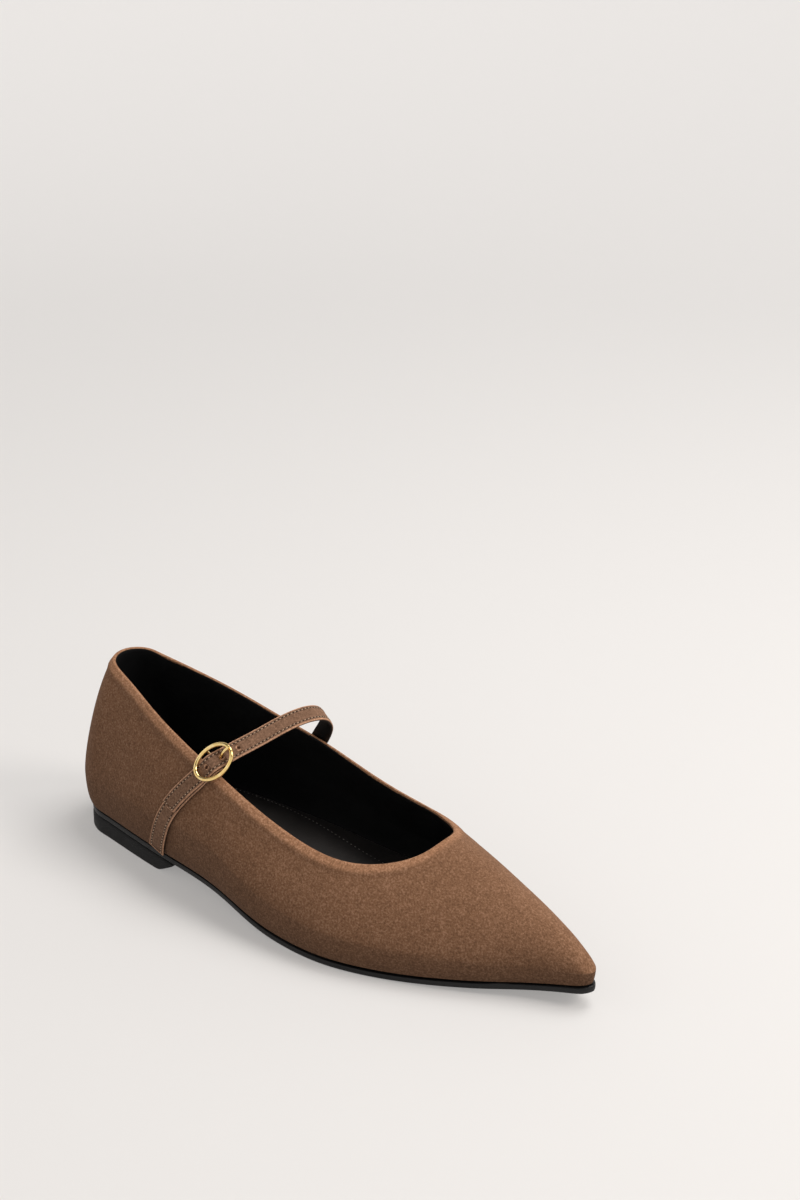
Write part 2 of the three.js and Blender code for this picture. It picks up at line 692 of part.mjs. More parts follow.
// The strap, from its free tail on the outer side, through the buckle, over the instep and down inside
function makeStrap() {
  const knots = [];
  for (let i = 0; i <= SIDE_KNOTS; i += 1) {
    knots.push(onSide(-1, lerp(TAIL_END_CLIMB, TAIL_TOP_CLIMB, i / SIDE_KNOTS), TAIL_OFFSET));
  }
  STRAP_LACING.forEach(({ run, level }) => {
    knots.push({ point: atBuckle(run * RING_HALF_RUN, level), facing: BUCKLE.out });
  });
  const arch = STRAP_ARCH.map(archPoint);
  arch.forEach((point, i) => {
    const before = arch[Math.max(i - 1, 0)];
    const after = i < arch.length - 1 ? arch[i + 1] : INNER_COLLAR.point;
    knots.push({ point, facing: STRAP_ACROSS.clone().cross(after.clone().sub(before)).normalize() });
  });
  knots.push(INNER_COLLAR);
  for (let i = 1; i <= SIDE_KNOTS; i += 1) {
    knots.push(onSide(1, lerp(1, STRAP_FOOT_CLIMB, i / SIDE_KNOTS), INNER_OFFSET));
  }
  const corner = (distance) => {
    const left = clamp(1 - distance / STRAP_CORNER, 0, 1);
    return 1 - (STRAP_CORNER * (1 - Math.sqrt(1 - left * left))) / (STRAP_WIDTH / 2);
  };
  const band = makeBand(knots, STRAP_STEPS, STRAP_WIDTH, STRAP_THICKNESS, corner);
  const holes = [-1, 1].map((hole) => {
    const run = HOLE_PLACE + hole * HOLE_SPACING;
    const axis = [atBuckle(run, -HOLE_SPACING), atBuckle(run, 0), atBuckle(run, HOLE_SPACING)];
    return makeWire(axis, HOLE_DIAMETER, false, 2);
  });
  const rooms = [
    makeRing(BUCKLE_WIRE + 2 * CLEARANCE),
    makeProng(PRONG_DIAMETER + 2 * CLEARANCE),
    makeTabBand(TAB_WIDTH + 2 * CLEARANCE, TAB_THICKNESS + 2 * CLEARANCE),
  ];
  return cutAway(band, [...rooms, ...holes]);
}

// The tab that holds the buckle: up the outer side from the feather line and hooked over the bar
function makeTabBand(width, thickness) {
  const knots = [];
  for (let i = 0; i <= SIDE_KNOTS; i += 1) {
    knots.push(onSide(-1, lerp(STRAP_FOOT_CLIMB, TAIL_TOP_CLIMB, i / SIDE_KNOTS), TAB_OFFSET));
  }
  knots.push(onSide(-1, BUCKLE_CLIMB, TAB_OFFSET));
  knots.push({ point: atBuckle(-TAB_LIFT * RING_HALF_RUN, WRAP_RADIUS), facing: BUCKLE.out });
  for (let turn = 90; turn >= -90; turn -= WRAP_TURN) {
    const angle = THREE.MathUtils.degToRad(turn);
    const out = Math.sin(angle);
    const run = Math.cos(angle);
    const facing = BUCKLE.out.clone().multiplyScalar(out).addScaledVector(BUCKLE.run, run);
    knots.push({ point: atBuckle(WRAP_RADIUS * run, WRAP_RADIUS * out), facing });
  }
  return makeBand(knots, TAB_STEPS, width, thickness, () => 1);
}

function makeBuckleTab() {
  const rooms = [makeProng(PRONG_DIAMETER + 2 * CLEARANCE), makeBar(BAR_DIAMETER + WRAP_CLEARANCE)];
  return cutAway(makeTabBand(TAB_WIDTH, TAB_THICKNESS), rooms);
}

const group = new THREE.Group();

function addPiece(name, geometry, color, roughness, metalness) {
  const mesh = new THREE.Mesh(geometry, new THREE.MeshStandardMaterial({ color, roughness, metalness }));
  mesh.name = name;
  group.add(mesh);
}

const SUEDE = 0x6b4f3b;
const BLACK = 0x17171a;
const SOCK = 0x2a2828;
const GOLD = 0xd9b25a;
addPiece('outsole', makeOutsole(), BLACK, 0.5, 0);
addPiece('heel_block', makeHeelBlock(), BLACK, 0.55, 0);
addPiece('upper', makeUpper(), SUEDE, 0.95, 0);
addPiece('insole', makeInsole(), SOCK, 0.7, 0);
addPiece('strap', makeStrap(), SUEDE, 0.95, 0);
addPiece('buckle_tab', makeBuckleTab(), SUEDE, 0.95, 0);
addPiece('buckle_ring', makeBuckleRing(), GOLD, 0.25, 1);
addPiece('buckle_prong', makeProng(PRONG_DIAMETER), GOLD, 0.25, 1);

const box = new THREE.Box3().setFromObject(group);
group.position.set(-(box.min.x + box.max.x) / 2, -(box.min.y + box.max.y) / 2, -box.min.z);
group.updateMatrixWorld(true);

export default group;
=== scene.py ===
"""A pointed toe flat shoe with one buckled strap, dressed for its picture.

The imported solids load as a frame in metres. The strap, its base tab and the buckle are remodelled here at a
finer grain over the same last, and the upper, the sole, the heel and the insole are rounded copies of their
solids. Sizes are in millimetres, measured from the back of the last, until a point is placed in the frame.
The studio's own sizes are in metres.
"""

from __future__ import annotations

import logging
import math
from dataclasses import dataclass, field
from enum import Enum, IntEnum
from typing import Callable, Iterable, Sequence

import bmesh
import bpy
from mathutils import Matrix, Vector
from mathutils.kdtree import KDTree

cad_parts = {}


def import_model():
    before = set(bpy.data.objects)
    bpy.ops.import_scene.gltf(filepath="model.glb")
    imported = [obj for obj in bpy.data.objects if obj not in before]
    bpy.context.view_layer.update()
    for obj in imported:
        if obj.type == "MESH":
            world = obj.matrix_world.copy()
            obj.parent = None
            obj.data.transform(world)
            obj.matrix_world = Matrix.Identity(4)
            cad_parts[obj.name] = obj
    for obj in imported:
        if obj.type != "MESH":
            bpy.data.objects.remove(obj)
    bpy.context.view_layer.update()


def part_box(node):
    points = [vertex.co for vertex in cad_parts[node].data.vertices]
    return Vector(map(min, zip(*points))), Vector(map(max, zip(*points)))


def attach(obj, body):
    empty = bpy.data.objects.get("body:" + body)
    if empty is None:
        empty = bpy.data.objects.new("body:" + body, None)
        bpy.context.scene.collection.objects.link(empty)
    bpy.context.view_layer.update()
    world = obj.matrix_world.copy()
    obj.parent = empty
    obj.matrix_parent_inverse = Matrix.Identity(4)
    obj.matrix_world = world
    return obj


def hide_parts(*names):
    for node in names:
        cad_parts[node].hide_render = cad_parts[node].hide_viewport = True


log = logging.getLogger("shoe")

MM = 0.001
MERGE_DISTANCE = 0.002


class Side(Enum):
    """The two long sides of a right shoe."""

    OUTER = -1
    INNER = 1


class Slot(Enum):
    """The record's material slots."""

    SOLE = "sole"
    HEEL = "heel"
    SUEDE = "suede"
    SOCK = "sock"
    BUCKLE = "buckle"


class Leather(IntEnum):
    """The material slots of a band."""

    FACE = 0
    UNDER = 1
    EDGE = 2


def clamp(value: float, low: float = 0.0, high: float = 1.0) -> float:
    """Keeps a value between two limits."""
    return max(low, min(high, value))


def lerp(start: float, end: float, share: float) -> float:
    """Mixes two numbers."""
    return start + (end - start) * share


def along(rows: Sequence[tuple[float, float]], place: float) -> float:
    """Reads a table at any place by a smooth curve that is level at each turn.

    Args:
        rows: Pairs of place and value, in order.
        place: Where to read, held between the first and the last place.

    Returns:
        The value there.
    """
    last = len(rows) - 1
    here = clamp(place, rows[0][0], rows[last][0])

    def gap(i: int) -> float:
        """Length of one span."""
        return rows[i + 1][0] - rows[i][0]

    def slope(i: int) -> float:
        """Slope of one span."""
        return (rows[i + 1][1] - rows[i][1]) / gap(i)

    def tangent(i: int) -> float:
        """Slope of the curve at one row."""
        if i == 0:
            return slope(0)
        if i == last:
            return slope(last - 1)
        if slope(i - 1) * slope(i) <= 0:
            return 0.0
        return (gap(i - 1) * slope(i) + gap(i) * slope(i - 1)) / (gap(i - 1) + gap(i))

    i = 0
    while i < last - 1 and here > rows[i + 1][0]:
        i += 1
    t = (here - rows[i][0]) / gap(i)
    rest = 1 - t
    level = rest * rest * (1 + 2 * t) * rows[i][1] + t * t * (3 - 2 * t) * rows[i + 1][1]
    return level + t * rest * gap(i) * (rest * tangent(i) - t * tangent(i + 1))


@dataclass(frozen=True)
class Spoke:
    """A level line from the last's middle to its edge: straight out, or in a fan at heel and toe."""

    x: float
    forward: float = 0.0
    out: float = 1.0


@dataclass(frozen=True)
class Section:
    """The last's section along one spoke."""

    feather: float
    swell: float
    floor: float
    belly: float
    across: float
    up: float

    @property
    def widest(self) -> float:
        """Reach at the belly."""
        return self.feather + self.swell


@dataclass(frozen=True)
class Placement:
    """A point on a piece and the way that the piece faces there."""

    point: Vector
    facing: Vector


@dataclass(frozen=True)
class Last:
    """The last that the shoe is made on.

    Its tables hold shares: places of the length, outer and inner of the ball's width, swell of the side
    swell, belly of the belly's height, ridge of the instep's height, topline of the back's height, heel_line
    of the heel's height and toe_line of the toe spring.
    """

    length: float = 257.5
    ball_width: float = 80.0
    instep_height: float = 60.0
    back_height: float = 67.0
    side_swell: float = 4.5
    belly_height: float = 20.0
    throat: float = 0.733
    throat_depth: float = 44.5
    throat_squareness: float = 2.7
    heel_height: float = 8.0
    toe_spring: float = 6.5
    toe_bluntness: float = 2.6
    toe_taper: float = 0.42
    toe_change: tuple[float, float] = (0.82, 0.15)
    round_across: tuple[float, float] = (1.87, 2.1)
    round_up: tuple[float, float] = (1.35, 1.7)
    sole_thickness: float = 3.0
    clearance: float = 0.3
    at: tuple[float, ...] = (0.094, 0.211, 0.372, 0.524, 0.626, 0.737, 0.838, 0.919, 0.975, 1.0)
    outer: tuple[float, ...] = (0.297, 0.364, 0.431, 0.517, 0.516, 0.414, 0.271, 0.133, 0.06)
    inner: tuple[float, ...] = (0.29, 0.366, 0.404, 0.467, 0.485, 0.408, 0.291, 0.159, 0.065)
    swell: tuple[float, ...] = (0.65, 0.92, 0.99, 0.58, 0.55, 0.53, 0.38, 0.3, 0.26)
    belly: tuple[float, ...] = (0.74, 0.92, 0.985, 0.71, 0.595, 0.51, 0.42, 0.34, 0.28)
    ridge: tuple[float, ...] = (1.3, 1.27, 1.115, 0.98, 0.85, 0.7, 0.525, 0.355, 0.204, 0.09)
    topline: tuple[tuple[float, float], ...] = (
        (0.0, 1.0), (0.089, 0.97), (0.211, 0.835), (0.372, 0.675), (0.524, 0.585), (0.733, 0.455),
    )
    heel_line: tuple[tuple[float, float], ...] = (
        (0.0, 1.0), (0.211, 0.89), (0.393, 0.7), (0.565, 0.0), (1.0, 0.0),
    )
    toe_line: tuple[tuple[float, float], ...] = ((0.0, 0.0), (0.686, 0.0), (0.838, 0.285), (1.0, 1.0))

    def column(self, values: tuple[float, ...], x: float) -> float:
        """Reads one column of the section table at a place along the last."""
        return along(list(zip(self.at, values)), x / self.length)

    def underside(self, x: float) -> float:
        """Height of the sole's underside."""
        share = x / self.length
        return along(self.heel_line, share) * self.heel_height + along(self.toe_line, share) * self.toe_spring

    def feather(self, x: float) -> float:
        """Height of the feather line, where the upper meets the sole."""
        return self.underside(x) + self.sole_thickness + self.clearance

    def ridge_height(self, x: float) -> float:
        """Height of the last's top line."""
        return self.feather(x) + self.column(self.ridge, x) * self.instep_height

    def topline_height(self, x: float) -> float:
        """Height of the collar's edge."""
        return self.feather(x) + along(self.topline, x / self.length) * self.back_height

    def section(self, side: Side, spoke: Spoke) -> Section:
        """The section of one side along a spoke.

        Args:
            side: Outer or inner side.
            spoke: The level line to cut along.

        Returns:
            The section.
        """
        half = self.column(self.outer if side is Side.OUTER else self.inner, spoke.x) * self.ball_width
        swell = self.column(self.swell, spoke.x) * self.side_swell
        feather = half
        if spoke.forward:
            heel = spoke.forward < 0
            end = (spoke.x if heel else self.length - spoke.x) - swell
            power = 2.0 if heel else self.toe_bluntness
            taper = 0.0 if heel else self.toe_taper / half
            across = spoke.out / half + spoke.forward * taper
            total = abs(spoke.forward) ** power * (end**-power - taper**power) + across**power
            feather = total ** (-1 / power)
        floor = self.feather(spoke.x + feather * spoke.forward)
        toe = clamp((spoke.x / self.length - self.toe_change[0]) / self.toe_change[1])
        toe = toe * toe * (3 - 2 * toe)
        return Section(
            feather=feather,
            swell=swell,
            floor=floor,
            belly=floor + self.column(self.belly, spoke.x) * self.belly_height,
            across=lerp(*self.round_across, toe),
            up=lerp(*self.round_up, toe),
        )

    def collar_point(self, side: Side, spoke: Spoke) -> Vector:
        """A point of the collar's outer edge.

        Args:
            side: Outer or inner side.
            spoke: The level line that the point lies over.

        Returns:
            The point.
        """
        cut = self.section(side, spoke)
        throat = self.throat * self.length
        x = spoke.x + min(spoke.forward, 0.0) * cut.widest
        ridge = self.ridge_height(spoke.x)
        climb = clamp((self.topline_height(x) - cut.belly) / (ridge - cut.belly))
        into = clamp((spoke.x - throat + self.throat_depth) / self.throat_depth)
        bend = (1 - into**self.throat_squareness) ** (1 / self.throat_squareness)
        share = (1 - climb**cut.up) ** (1 / cut.across) * bend
        turn = math.acos(clamp(share ** (cut.across / 2)))
        height = lerp(cut.belly, ridge, math.sin(turn) ** (2 / cut.up))
        reach = cut.widest * share
        return Vector((spoke.x + reach * spoke.forward, side.value * reach * spoke.out, height))

    def collar(self, steps: int = 300) -> list[Vector]:
        """Points all round the collar's outer edge.

        Args:
            steps: Points along each side.

        Returns:
            The points, side by side.
        """
        heel = self.at[0] * self.length
        throat = self.throat * self.length
        spokes = []
        for i in range(steps // 4):
            angle = i / (steps // 4) * math.pi / 2
            spokes.append(Spoke(heel, -math.cos(angle), math.sin(angle)))
        spokes += [Spoke(lerp(heel, throat, math.sin(i / steps * math.pi / 2))) for i in range(steps + 1)]
        return [self.collar_point(side, spoke) for side in Side for spoke in spokes]

    def reach(self, side: Side, x: float, height: float) -> float:
        """How far the upper reaches sideways at one place and height.

        Args:
            side: Outer or inner side.
            x: Place along the last.
            height: Height above the floor.

        Returns:
            The reach from the last's middle line.
        """
        cut = self.section(side, Spoke(x))
        if height < cut.belly:
            drop = clamp((cut.belly - height) / (cut.belly - cut.floor))
            return cut.feather + cut.swell * math.sqrt(1 - drop * drop)
        climb = clamp((height - cut.belly) / (self.ridge_height(x) - cut.belly))
        return cut.widest * (1 - climb**cut.up) ** (1 / cut.across)

    def on_side(self, side: Side, x: float, height: float, offset: float = 0.0) -> Placement:
        """A place on the outside of the upper.

        Args:
            side: Outer or inner side.
            x: Place along the last.
            height: Height above the floor.
            offset: How far to stand off the surface.

        Returns:
            The place and the way that the surface faces.
        """
        def at(px: float, pz: float) -> Vector:
            """A point of the surface."""
            return Vector((px, side.value * self.reach(side, px, pz), pz))

        point = at(x, height)
        probe = 0.2
        facing = (at(x + probe, height) - point).cross(at(x, height + probe) - point)
        facing = (facing * -side.value).normalized()
        return Placement(point + facing * offset, facing)


class Frame:
    """Carries points from the last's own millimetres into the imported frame."""

    def __init__(self, last: Last) -> None:
        """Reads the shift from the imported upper.

        Args:
            last: The last that the upper follows.
        """
        low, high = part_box("upper")
        outer = max(last.section(Side.OUTER, Spoke(x)).widest for x in range(60, 220))
        self.shift = Vector((high.x - last.length * MM, low.y + outer * MM, 0.0))

    def place(self, point: Vector) -> Vector:
        """Moves a point into the frame."""
        return point * MM + self.shift

    def local(self, point: Vector) -> Vector:
        """Reads a point of the frame in the last's millimetres."""
        return (point - self.shift) / MM


def new_object(name: str, bm: bmesh.types.BMesh, materials: Sequence[bpy.types.Material]) -> bpy.types.Object:
    """Turns a bmesh into an object that stands at the origin.

    Args:
        name: The piece's name.
        bm: The mesh, which is freed.
        materials: Its materials, in slot order.

    Returns:
        The new object.
    """
    mesh = bpy.data.meshes.new(name)
    bm.to_mesh(mesh)
    bm.free()
    for material in materials:
        mesh.materials.append(material)
    for polygon in mesh.polygons:
        polygon.use_smooth = True
    obj = bpy.data.objects.new(name, mesh)
    bpy.context.scene.collection.objects.link(obj)
    return obj


def sort_mesh(bm: bmesh.types.BMesh, laid: Sequence[bmesh.types.BMVert]) -> None:
    """Numbers a mesh in a set order, since an extrusion's own order changes from run to run.

    Args:
        bm: The mesh.
        laid: All its vertices, in the order wanted.
    """
    order = {vertex: float(i) for i, vertex in enumerate(laid)}
    bm.verts.sort(key=lambda vertex: order[vertex])
    bm.verts.index_update()

    def rank(item: bmesh.types.BMEdge | bmesh.types.BMFace) -> float:
        """A number for an edge or face, from its first and last vertex."""
        numbers = [vertex.index for vertex in item.verts]
        return float(min(numbers) * len(laid) + max(numbers))

    bm.edges.sort(key=rank)
    bm.faces.sort(key=rank)


def bake_modifiers(obj: bpy.types.Object) -> None:
    """Makes an object's modifiers part of its mesh.

    Args:
        obj: The object, which keeps its place and name.
    """
    graph = bpy.context.evaluated_depsgraph_get()
    mesh = bpy.data.meshes.new_from_object(obj.evaluated_get(graph))
    obj.modifiers.clear()
    obj.data = mesh


def settle(obj: bpy.types.Object, slot: Slot, *nodes: str) -> None:
    """Ties a finished piece to the frame.

    Args:
        obj: The piece.
        slot: Not used.
        nodes: The solids that it stands for, if any.
    """
    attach(obj, "root")
    if nodes:
        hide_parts(*nodes)
    log.info("piece %s: %d faces", obj.name, len(obj.data.polygons))


class Shader:
    """A small builder for node trees."""

    def __init__(self, tree: bpy.types.NodeTree) -> None:
        """Starts on a tree, which may hold nodes already."""
        self.tree = tree

    def node(self, kind: str, values: dict[str, object] | None = None, **settings: object) -> bpy.types.Node:
        """Adds one node.

        Args:
            kind: Blender's name of the node type.
            values: Input names and what each is set to or linked from.
            settings: Properties of the node itself.

        Returns:
            The node.
        """
        node = self.tree.nodes.new(kind)
        for name, value in settings.items():
            setattr(node, name, value)
        for name, value in (values or {}).items():
            socket = node.inputs[int(name[1:])] if name.startswith("#") else node.inputs[name]
            if isinstance(value, bpy.types.NodeSocket):
                self.tree.links.new(value, socket)
            else:
                socket.default_value = value
        return node

    def math(self, operation: str, a: object, b: object = 0.0) -> bpy.types.NodeSocket:
        """Adds a Math node and gives its result."""
        return self.node("ShaderNodeMath", {"#0": a, "#1": b}, operation=operation).outputs[0]

    def noise(self, coords: object, scale: float, detail: float, rough: float) -> bpy.types.NodeSocket:
        """Adds a Noise texture and gives its value."""
        values = {"Vector": coords, "Scale": scale, "Detail": detail, "Roughness": rough}
        return self.node("ShaderNodeTexNoise", values).outputs["Fac"]

    def ramp(self, fac: object, low: float, high: float, start: float = 0.0,
             end: float = 1.0) -> bpy.types.NodeSocket:
        """Adds a smooth Map Range.

        Args:
            fac: The value to map.
            low: The value that gives the start.
            high: The value that gives the end.
            start: The result at low.
            end: The result at high.

        Returns:
            The mapped value.
        """
        values = {"Value": fac, "From Min": low, "From Max": high, "To Min": start, "To Max": end}
        node = self.node("ShaderNodeMapRange", values, interpolation_type="SMOOTHSTEP")
        return node.outputs["Result"]

    def mix(self, fac: object, a: object, b: object, blend: str = "MIX") -> bpy.types.NodeSocket:
        """Adds a colour Mix and gives its result."""
        node = self.node("ShaderNodeMix", {"#0": fac, "#6": a, "#7": b}, data_type="RGBA", blend_type=blend)
        return node.outputs[2]

    def grey(self, value: object) -> bpy.types.NodeSocket:
        """Turns a value into a colour with the same red, green and blue."""
        channels = {"Red": value, "Green": value, "Blue": value}
        return self.node("ShaderNodeCombineColor", channels).outputs["Color"]


CLOUD_SCALE = 35.0
PATCH_SCALE = 420.0
FIBRE_SCALE = 1300.0
FLECK_SCALE = 2600.0
MOTTLE = 0.55


def make_nap_group() -> bpy.types.ShaderNodeTree:
    """The short nap of suede: a mottle that changes its colour and a fine relief.

    Returns:
        The node group.
    """
    group = bpy.data.node_groups.new("short_nap", "ShaderNodeTree")
    group.interface.new_socket(name="Coordinates", in_out="INPUT", socket_type="NodeSocketVector")
    for name in ("Base", "Light", "Dark"):
        group.interface.new_socket(name=name, in_out="INPUT", socket_type="NodeSocketColor")
    for name, kind in (("Color", "NodeSocketColor"), ("Height", "NodeSocketFloat")):
        group.interface.new_socket(name=name, in_out="OUTPUT", socket_type=kind)
    make = Shader(group)
    source = make.node("NodeGroupInput")
    coords = source.outputs["Coordinates"]
    cloud = make.noise(coords, CLOUD_SCALE, 2.0, 0.5)
    patch = make.noise(coords, PATCH_SCALE, 3.0, 0.6)
    fibre = make.noise(coords, FIBRE_SCALE, 3.0, 0.6)
    fleck = make.noise(coords, FLECK_SCALE, 2.0, 0.6)
    tone = make.math("ADD", make.math("MULTIPLY", cloud, 0.1), make.math("MULTIPLY", patch, 0.2))
    tone = make.math("ADD", tone, make.math("MULTIPLY", fibre, 0.7))
    lighter = make.ramp(tone, 0.5, 0.62)
    darker = make.ramp(tone, 0.5, 0.38)
    color = make.mix(make.math("MULTIPLY", lighter, MOTTLE), source.outputs["Base"], source.outputs["Light"])
    color = make.mix(make.math("MULTIPLY", darker, MOTTLE), color, source.outputs["Dark"])
    height = make.math("ADD", make.math("MULTIPLY", fibre, 0.6), make.math("MULTIPLY", fleck, 0.4))
    make.node("NodeGroupOutput", {"Color": color, "Height": height})
    return group


def make_grain_group() -> bpy.types.ShaderNodeTree:
    """The fine pebble of smooth leather and moulded rubber: a relief and a worn mask.

    Returns:
        The node group.
    """
    group = bpy.data.node_groups.new("fine_grain", "ShaderNodeTree")
    group.interface.new_socket(name="Coordinates", in_out="INPUT", socket_type="NodeSocketVector")
    group.interface.new_socket(name="Scale", in_out="INPUT", socket_type="NodeSocketFloat")
    for name in ("Height", "Wear"):
        group.interface.new_socket(name=name, in_out="OUTPUT", socket_type="NodeSocketFloat")
    make = Shader(group)
    source = make.node("NodeGroupInput")
    values = {"Vector": source.outputs["Coordinates"], "Scale": source.outputs["Scale"]}
    cells = make.node("ShaderNodeTexVoronoi", values, feature="SMOOTH_F1").outputs["Distance"]
    wear = make.ramp(make.noise(source.outputs["Coordinates"], 70.0, 4.0, 0.6), 0.42, 0.68)
    make.node("NodeGroupOutput", {"Height": cells, "Wear": wear})
    return group


@dataclass(frozen=True)
class Finish:
    """A named finish: the colours and gloss that its material starts from."""

    name: str
    base: tuple[float, float, float]
    light: tuple[float, float, float]
    roughness: float
    sheen: float = 0.0
    coat: float = 0.0
    metallic: float = 0.0
    grain_scale: float = 1500.0
    relief: float = 0.1
    specular: float = 0.5

    def start(self) -> tuple[bpy.types.Material, Shader, bpy.types.Node, bpy.types.NodeSocket]:
        """Makes the material with its shader and gives the parts that a finish builds on.

        Returns:
            The material, its builder, the Principled shader and the object coordinates.
        """
        material = bpy.data.materials.new(self.name)
        material.use_nodes = True
        tree = material.node_tree
        shader = tree.nodes["Principled BSDF"]
        shader.inputs["Base Color"].default_value = (*self.base, 1.0)
        shader.inputs["Roughness"].default_value = self.roughness
        shader.inputs["Metallic"].default_value = self.metallic
        shader.inputs["Specular IOR Level"].default_value = self.specular
        shader.inputs["Sheen Weight"].default_value = self.sheen
        shader.inputs["Sheen Roughness"].default_value = 0.5
        shader.inputs["Sheen Tint"].default_value = (*self.light, 1.0)
        shader.inputs["Coat Weight"].default_value = self.coat
        shader.inputs["Coat Roughness"].default_value = 0.25
        make = Shader(tree)
        coords = make.node("ShaderNodeTexCoord").outputs["Object"]
        return material, make, shader, coords


@dataclass(frozen=True)
class Suede(Finish):
    """Brown suede with a rim along a piece's edge that is lighter, partly brushed nap and partly a painted
    highlight. It has painted light where it faces up, painted shade on its sides, and painted shade along its
    stitch groove where one is set.
    """

    dark: tuple[float, float, float] = (0.062, 0.029, 0.014)
    specular: float = 0.18
    nap: bpy.types.ShaderNodeTree | None = None
    edge_nap_and_highlight: float = 0.0
    edge_width: float = 1.0
    seam_at: float = 0.0
    seam_width: float = 0.6
    groove_shade_strength: float = 0.9
    side_painted_shade: float = 0.62
    top_painted_light: float = 1.4

    def build(self) -> bpy.types.Material:
        """Builds the material.

        Returns:
            The material.
        """
        material, make, shader, coords = self.start()
        nap = make.node("ShaderNodeGroup", node_tree=self.nap)
        make.tree.links.new(coords, nap.inputs["Coordinates"])
        for name, value in (("Base", self.base), ("Light", self.light), ("Dark", self.dark)):
            nap.inputs[name].default_value = (*value, 1.0)
        color = nap.outputs["Color"]
        height = nap.outputs["Height"]
        edge = make.node("ShaderNodeAttribute", attribute_name="edge_mm").outputs["Fac"]
        # Painted shade: a dark line along the stitch groove, seam_at from the edge.
        if self.seam_at > 0:
            away = make.math("ABSOLUTE", make.math("SUBTRACT", edge, self.seam_at))
            groove_shade = make.ramp(away, self.seam_width, self.seam_width * 0.2)
            color = make.mix(make.math("MULTIPLY", groove_shade, self.groove_shade_strength), color, (*self.dark, 1.0))
        # Painted light and shade: the colour grows lighter where the surface faces up and darker where it
        # faces sideways or down.
        normal = make.node("ShaderNodeTexCoord").outputs["Normal"]
        upward = make.node("ShaderNodeSeparateXYZ", {"Vector": normal}).outputs["Z"]
        shade = make.ramp(upward, -0.3, 0.75, self.side_painted_shade, self.top_painted_light)
        # A lighter rim along the piece's edge, partly brushed nap and partly a painted highlight where the
        # edge catches light.
        rim_nap_and_highlight = make.ramp(edge, self.edge_width, self.edge_width * 0.2, 1.0, 1.0 + self.edge_nap_and_highlight)
        shade = make.math("MULTIPLY", shade, rim_nap_and_highlight)
        color = make.mix(1.0, color, make.grey(shade), "MULTIPLY")
        bump = make.node("ShaderNodeBump", {"Strength": self.relief, "Distance": 0.0004, "Height": height})
        make.tree.links.new(color, shader.inputs["Base Color"])
        make.tree.links.new(bump.outputs["Normal"], shader.inputs["Normal"])
        return material


@dataclass(frozen=True)
class Smooth(Finish):
    """Smooth leather or rubber with a fine grain and slight wear."""

    grain: bpy.types.ShaderNodeTree | None = None
    specular: float = 0.25

    def build(self) -> bpy.types.Material:
        """Builds the material.

        Returns:
            The material.
        """
        material, make, shader, coords = self.start()
        grain = make.node("ShaderNodeGroup", node_tree=self.grain)
        make.tree.links.new(coords, grain.inputs["Coordinates"])
        grain.inputs["Scale"].default_value = self.grain_scale
        wear = grain.outputs["Wear"]
        color = make.mix(make.math("MULTIPLY", wear, 0.6), (*self.base, 1.0), (*self.light, 1.0))
        rough = make.math("ADD", make.math("MULTIPLY", wear, 0.12), self.roughness)
        values = {"Strength": self.relief, "Distance": 0.0002, "Height": grain.outputs["Height"]}
        bump = make.node("ShaderNodeBump", values)
        make.tree.links.new(color, shader.inputs["Base Color"])
        make.tree.links.new(rough, shader.inputs["Roughness"])
        make.tree.links.new(bump.outputs["Normal"], shader.inputs["Normal"])
        return material


@dataclass(frozen=True)
class Polished(Finish):
    """Polished gold tone metal with fine handling marks."""

    def build(self) -> bpy.types.Material:
        """Builds the material.

        Returns:
            The material.
        """
        material, make, shader, coords = self.start()
        haze = make.noise(coords, 420.0, 4.0, 0.6)
        rough = make.ramp(haze, 0.3, 0.75, self.roughness * 0.8, self.roughness * 1.5)
        color = make.mix(make.ramp(haze, 0.45, 0.7), (*self.base, 1.0), (*self.light, 1.0))
        bump = make.node("ShaderNodeBump", {"Strength": self.relief, "Distance": 0.0001, "Height": haze})
        make.tree.links.new(color, shader.inputs["Base Color"])
        make.tree.links.new(rough, shader.inputs["Roughness"])
        make.tree.links.new(bump.outputs["Normal"], shader.inputs["Normal"])
        return material


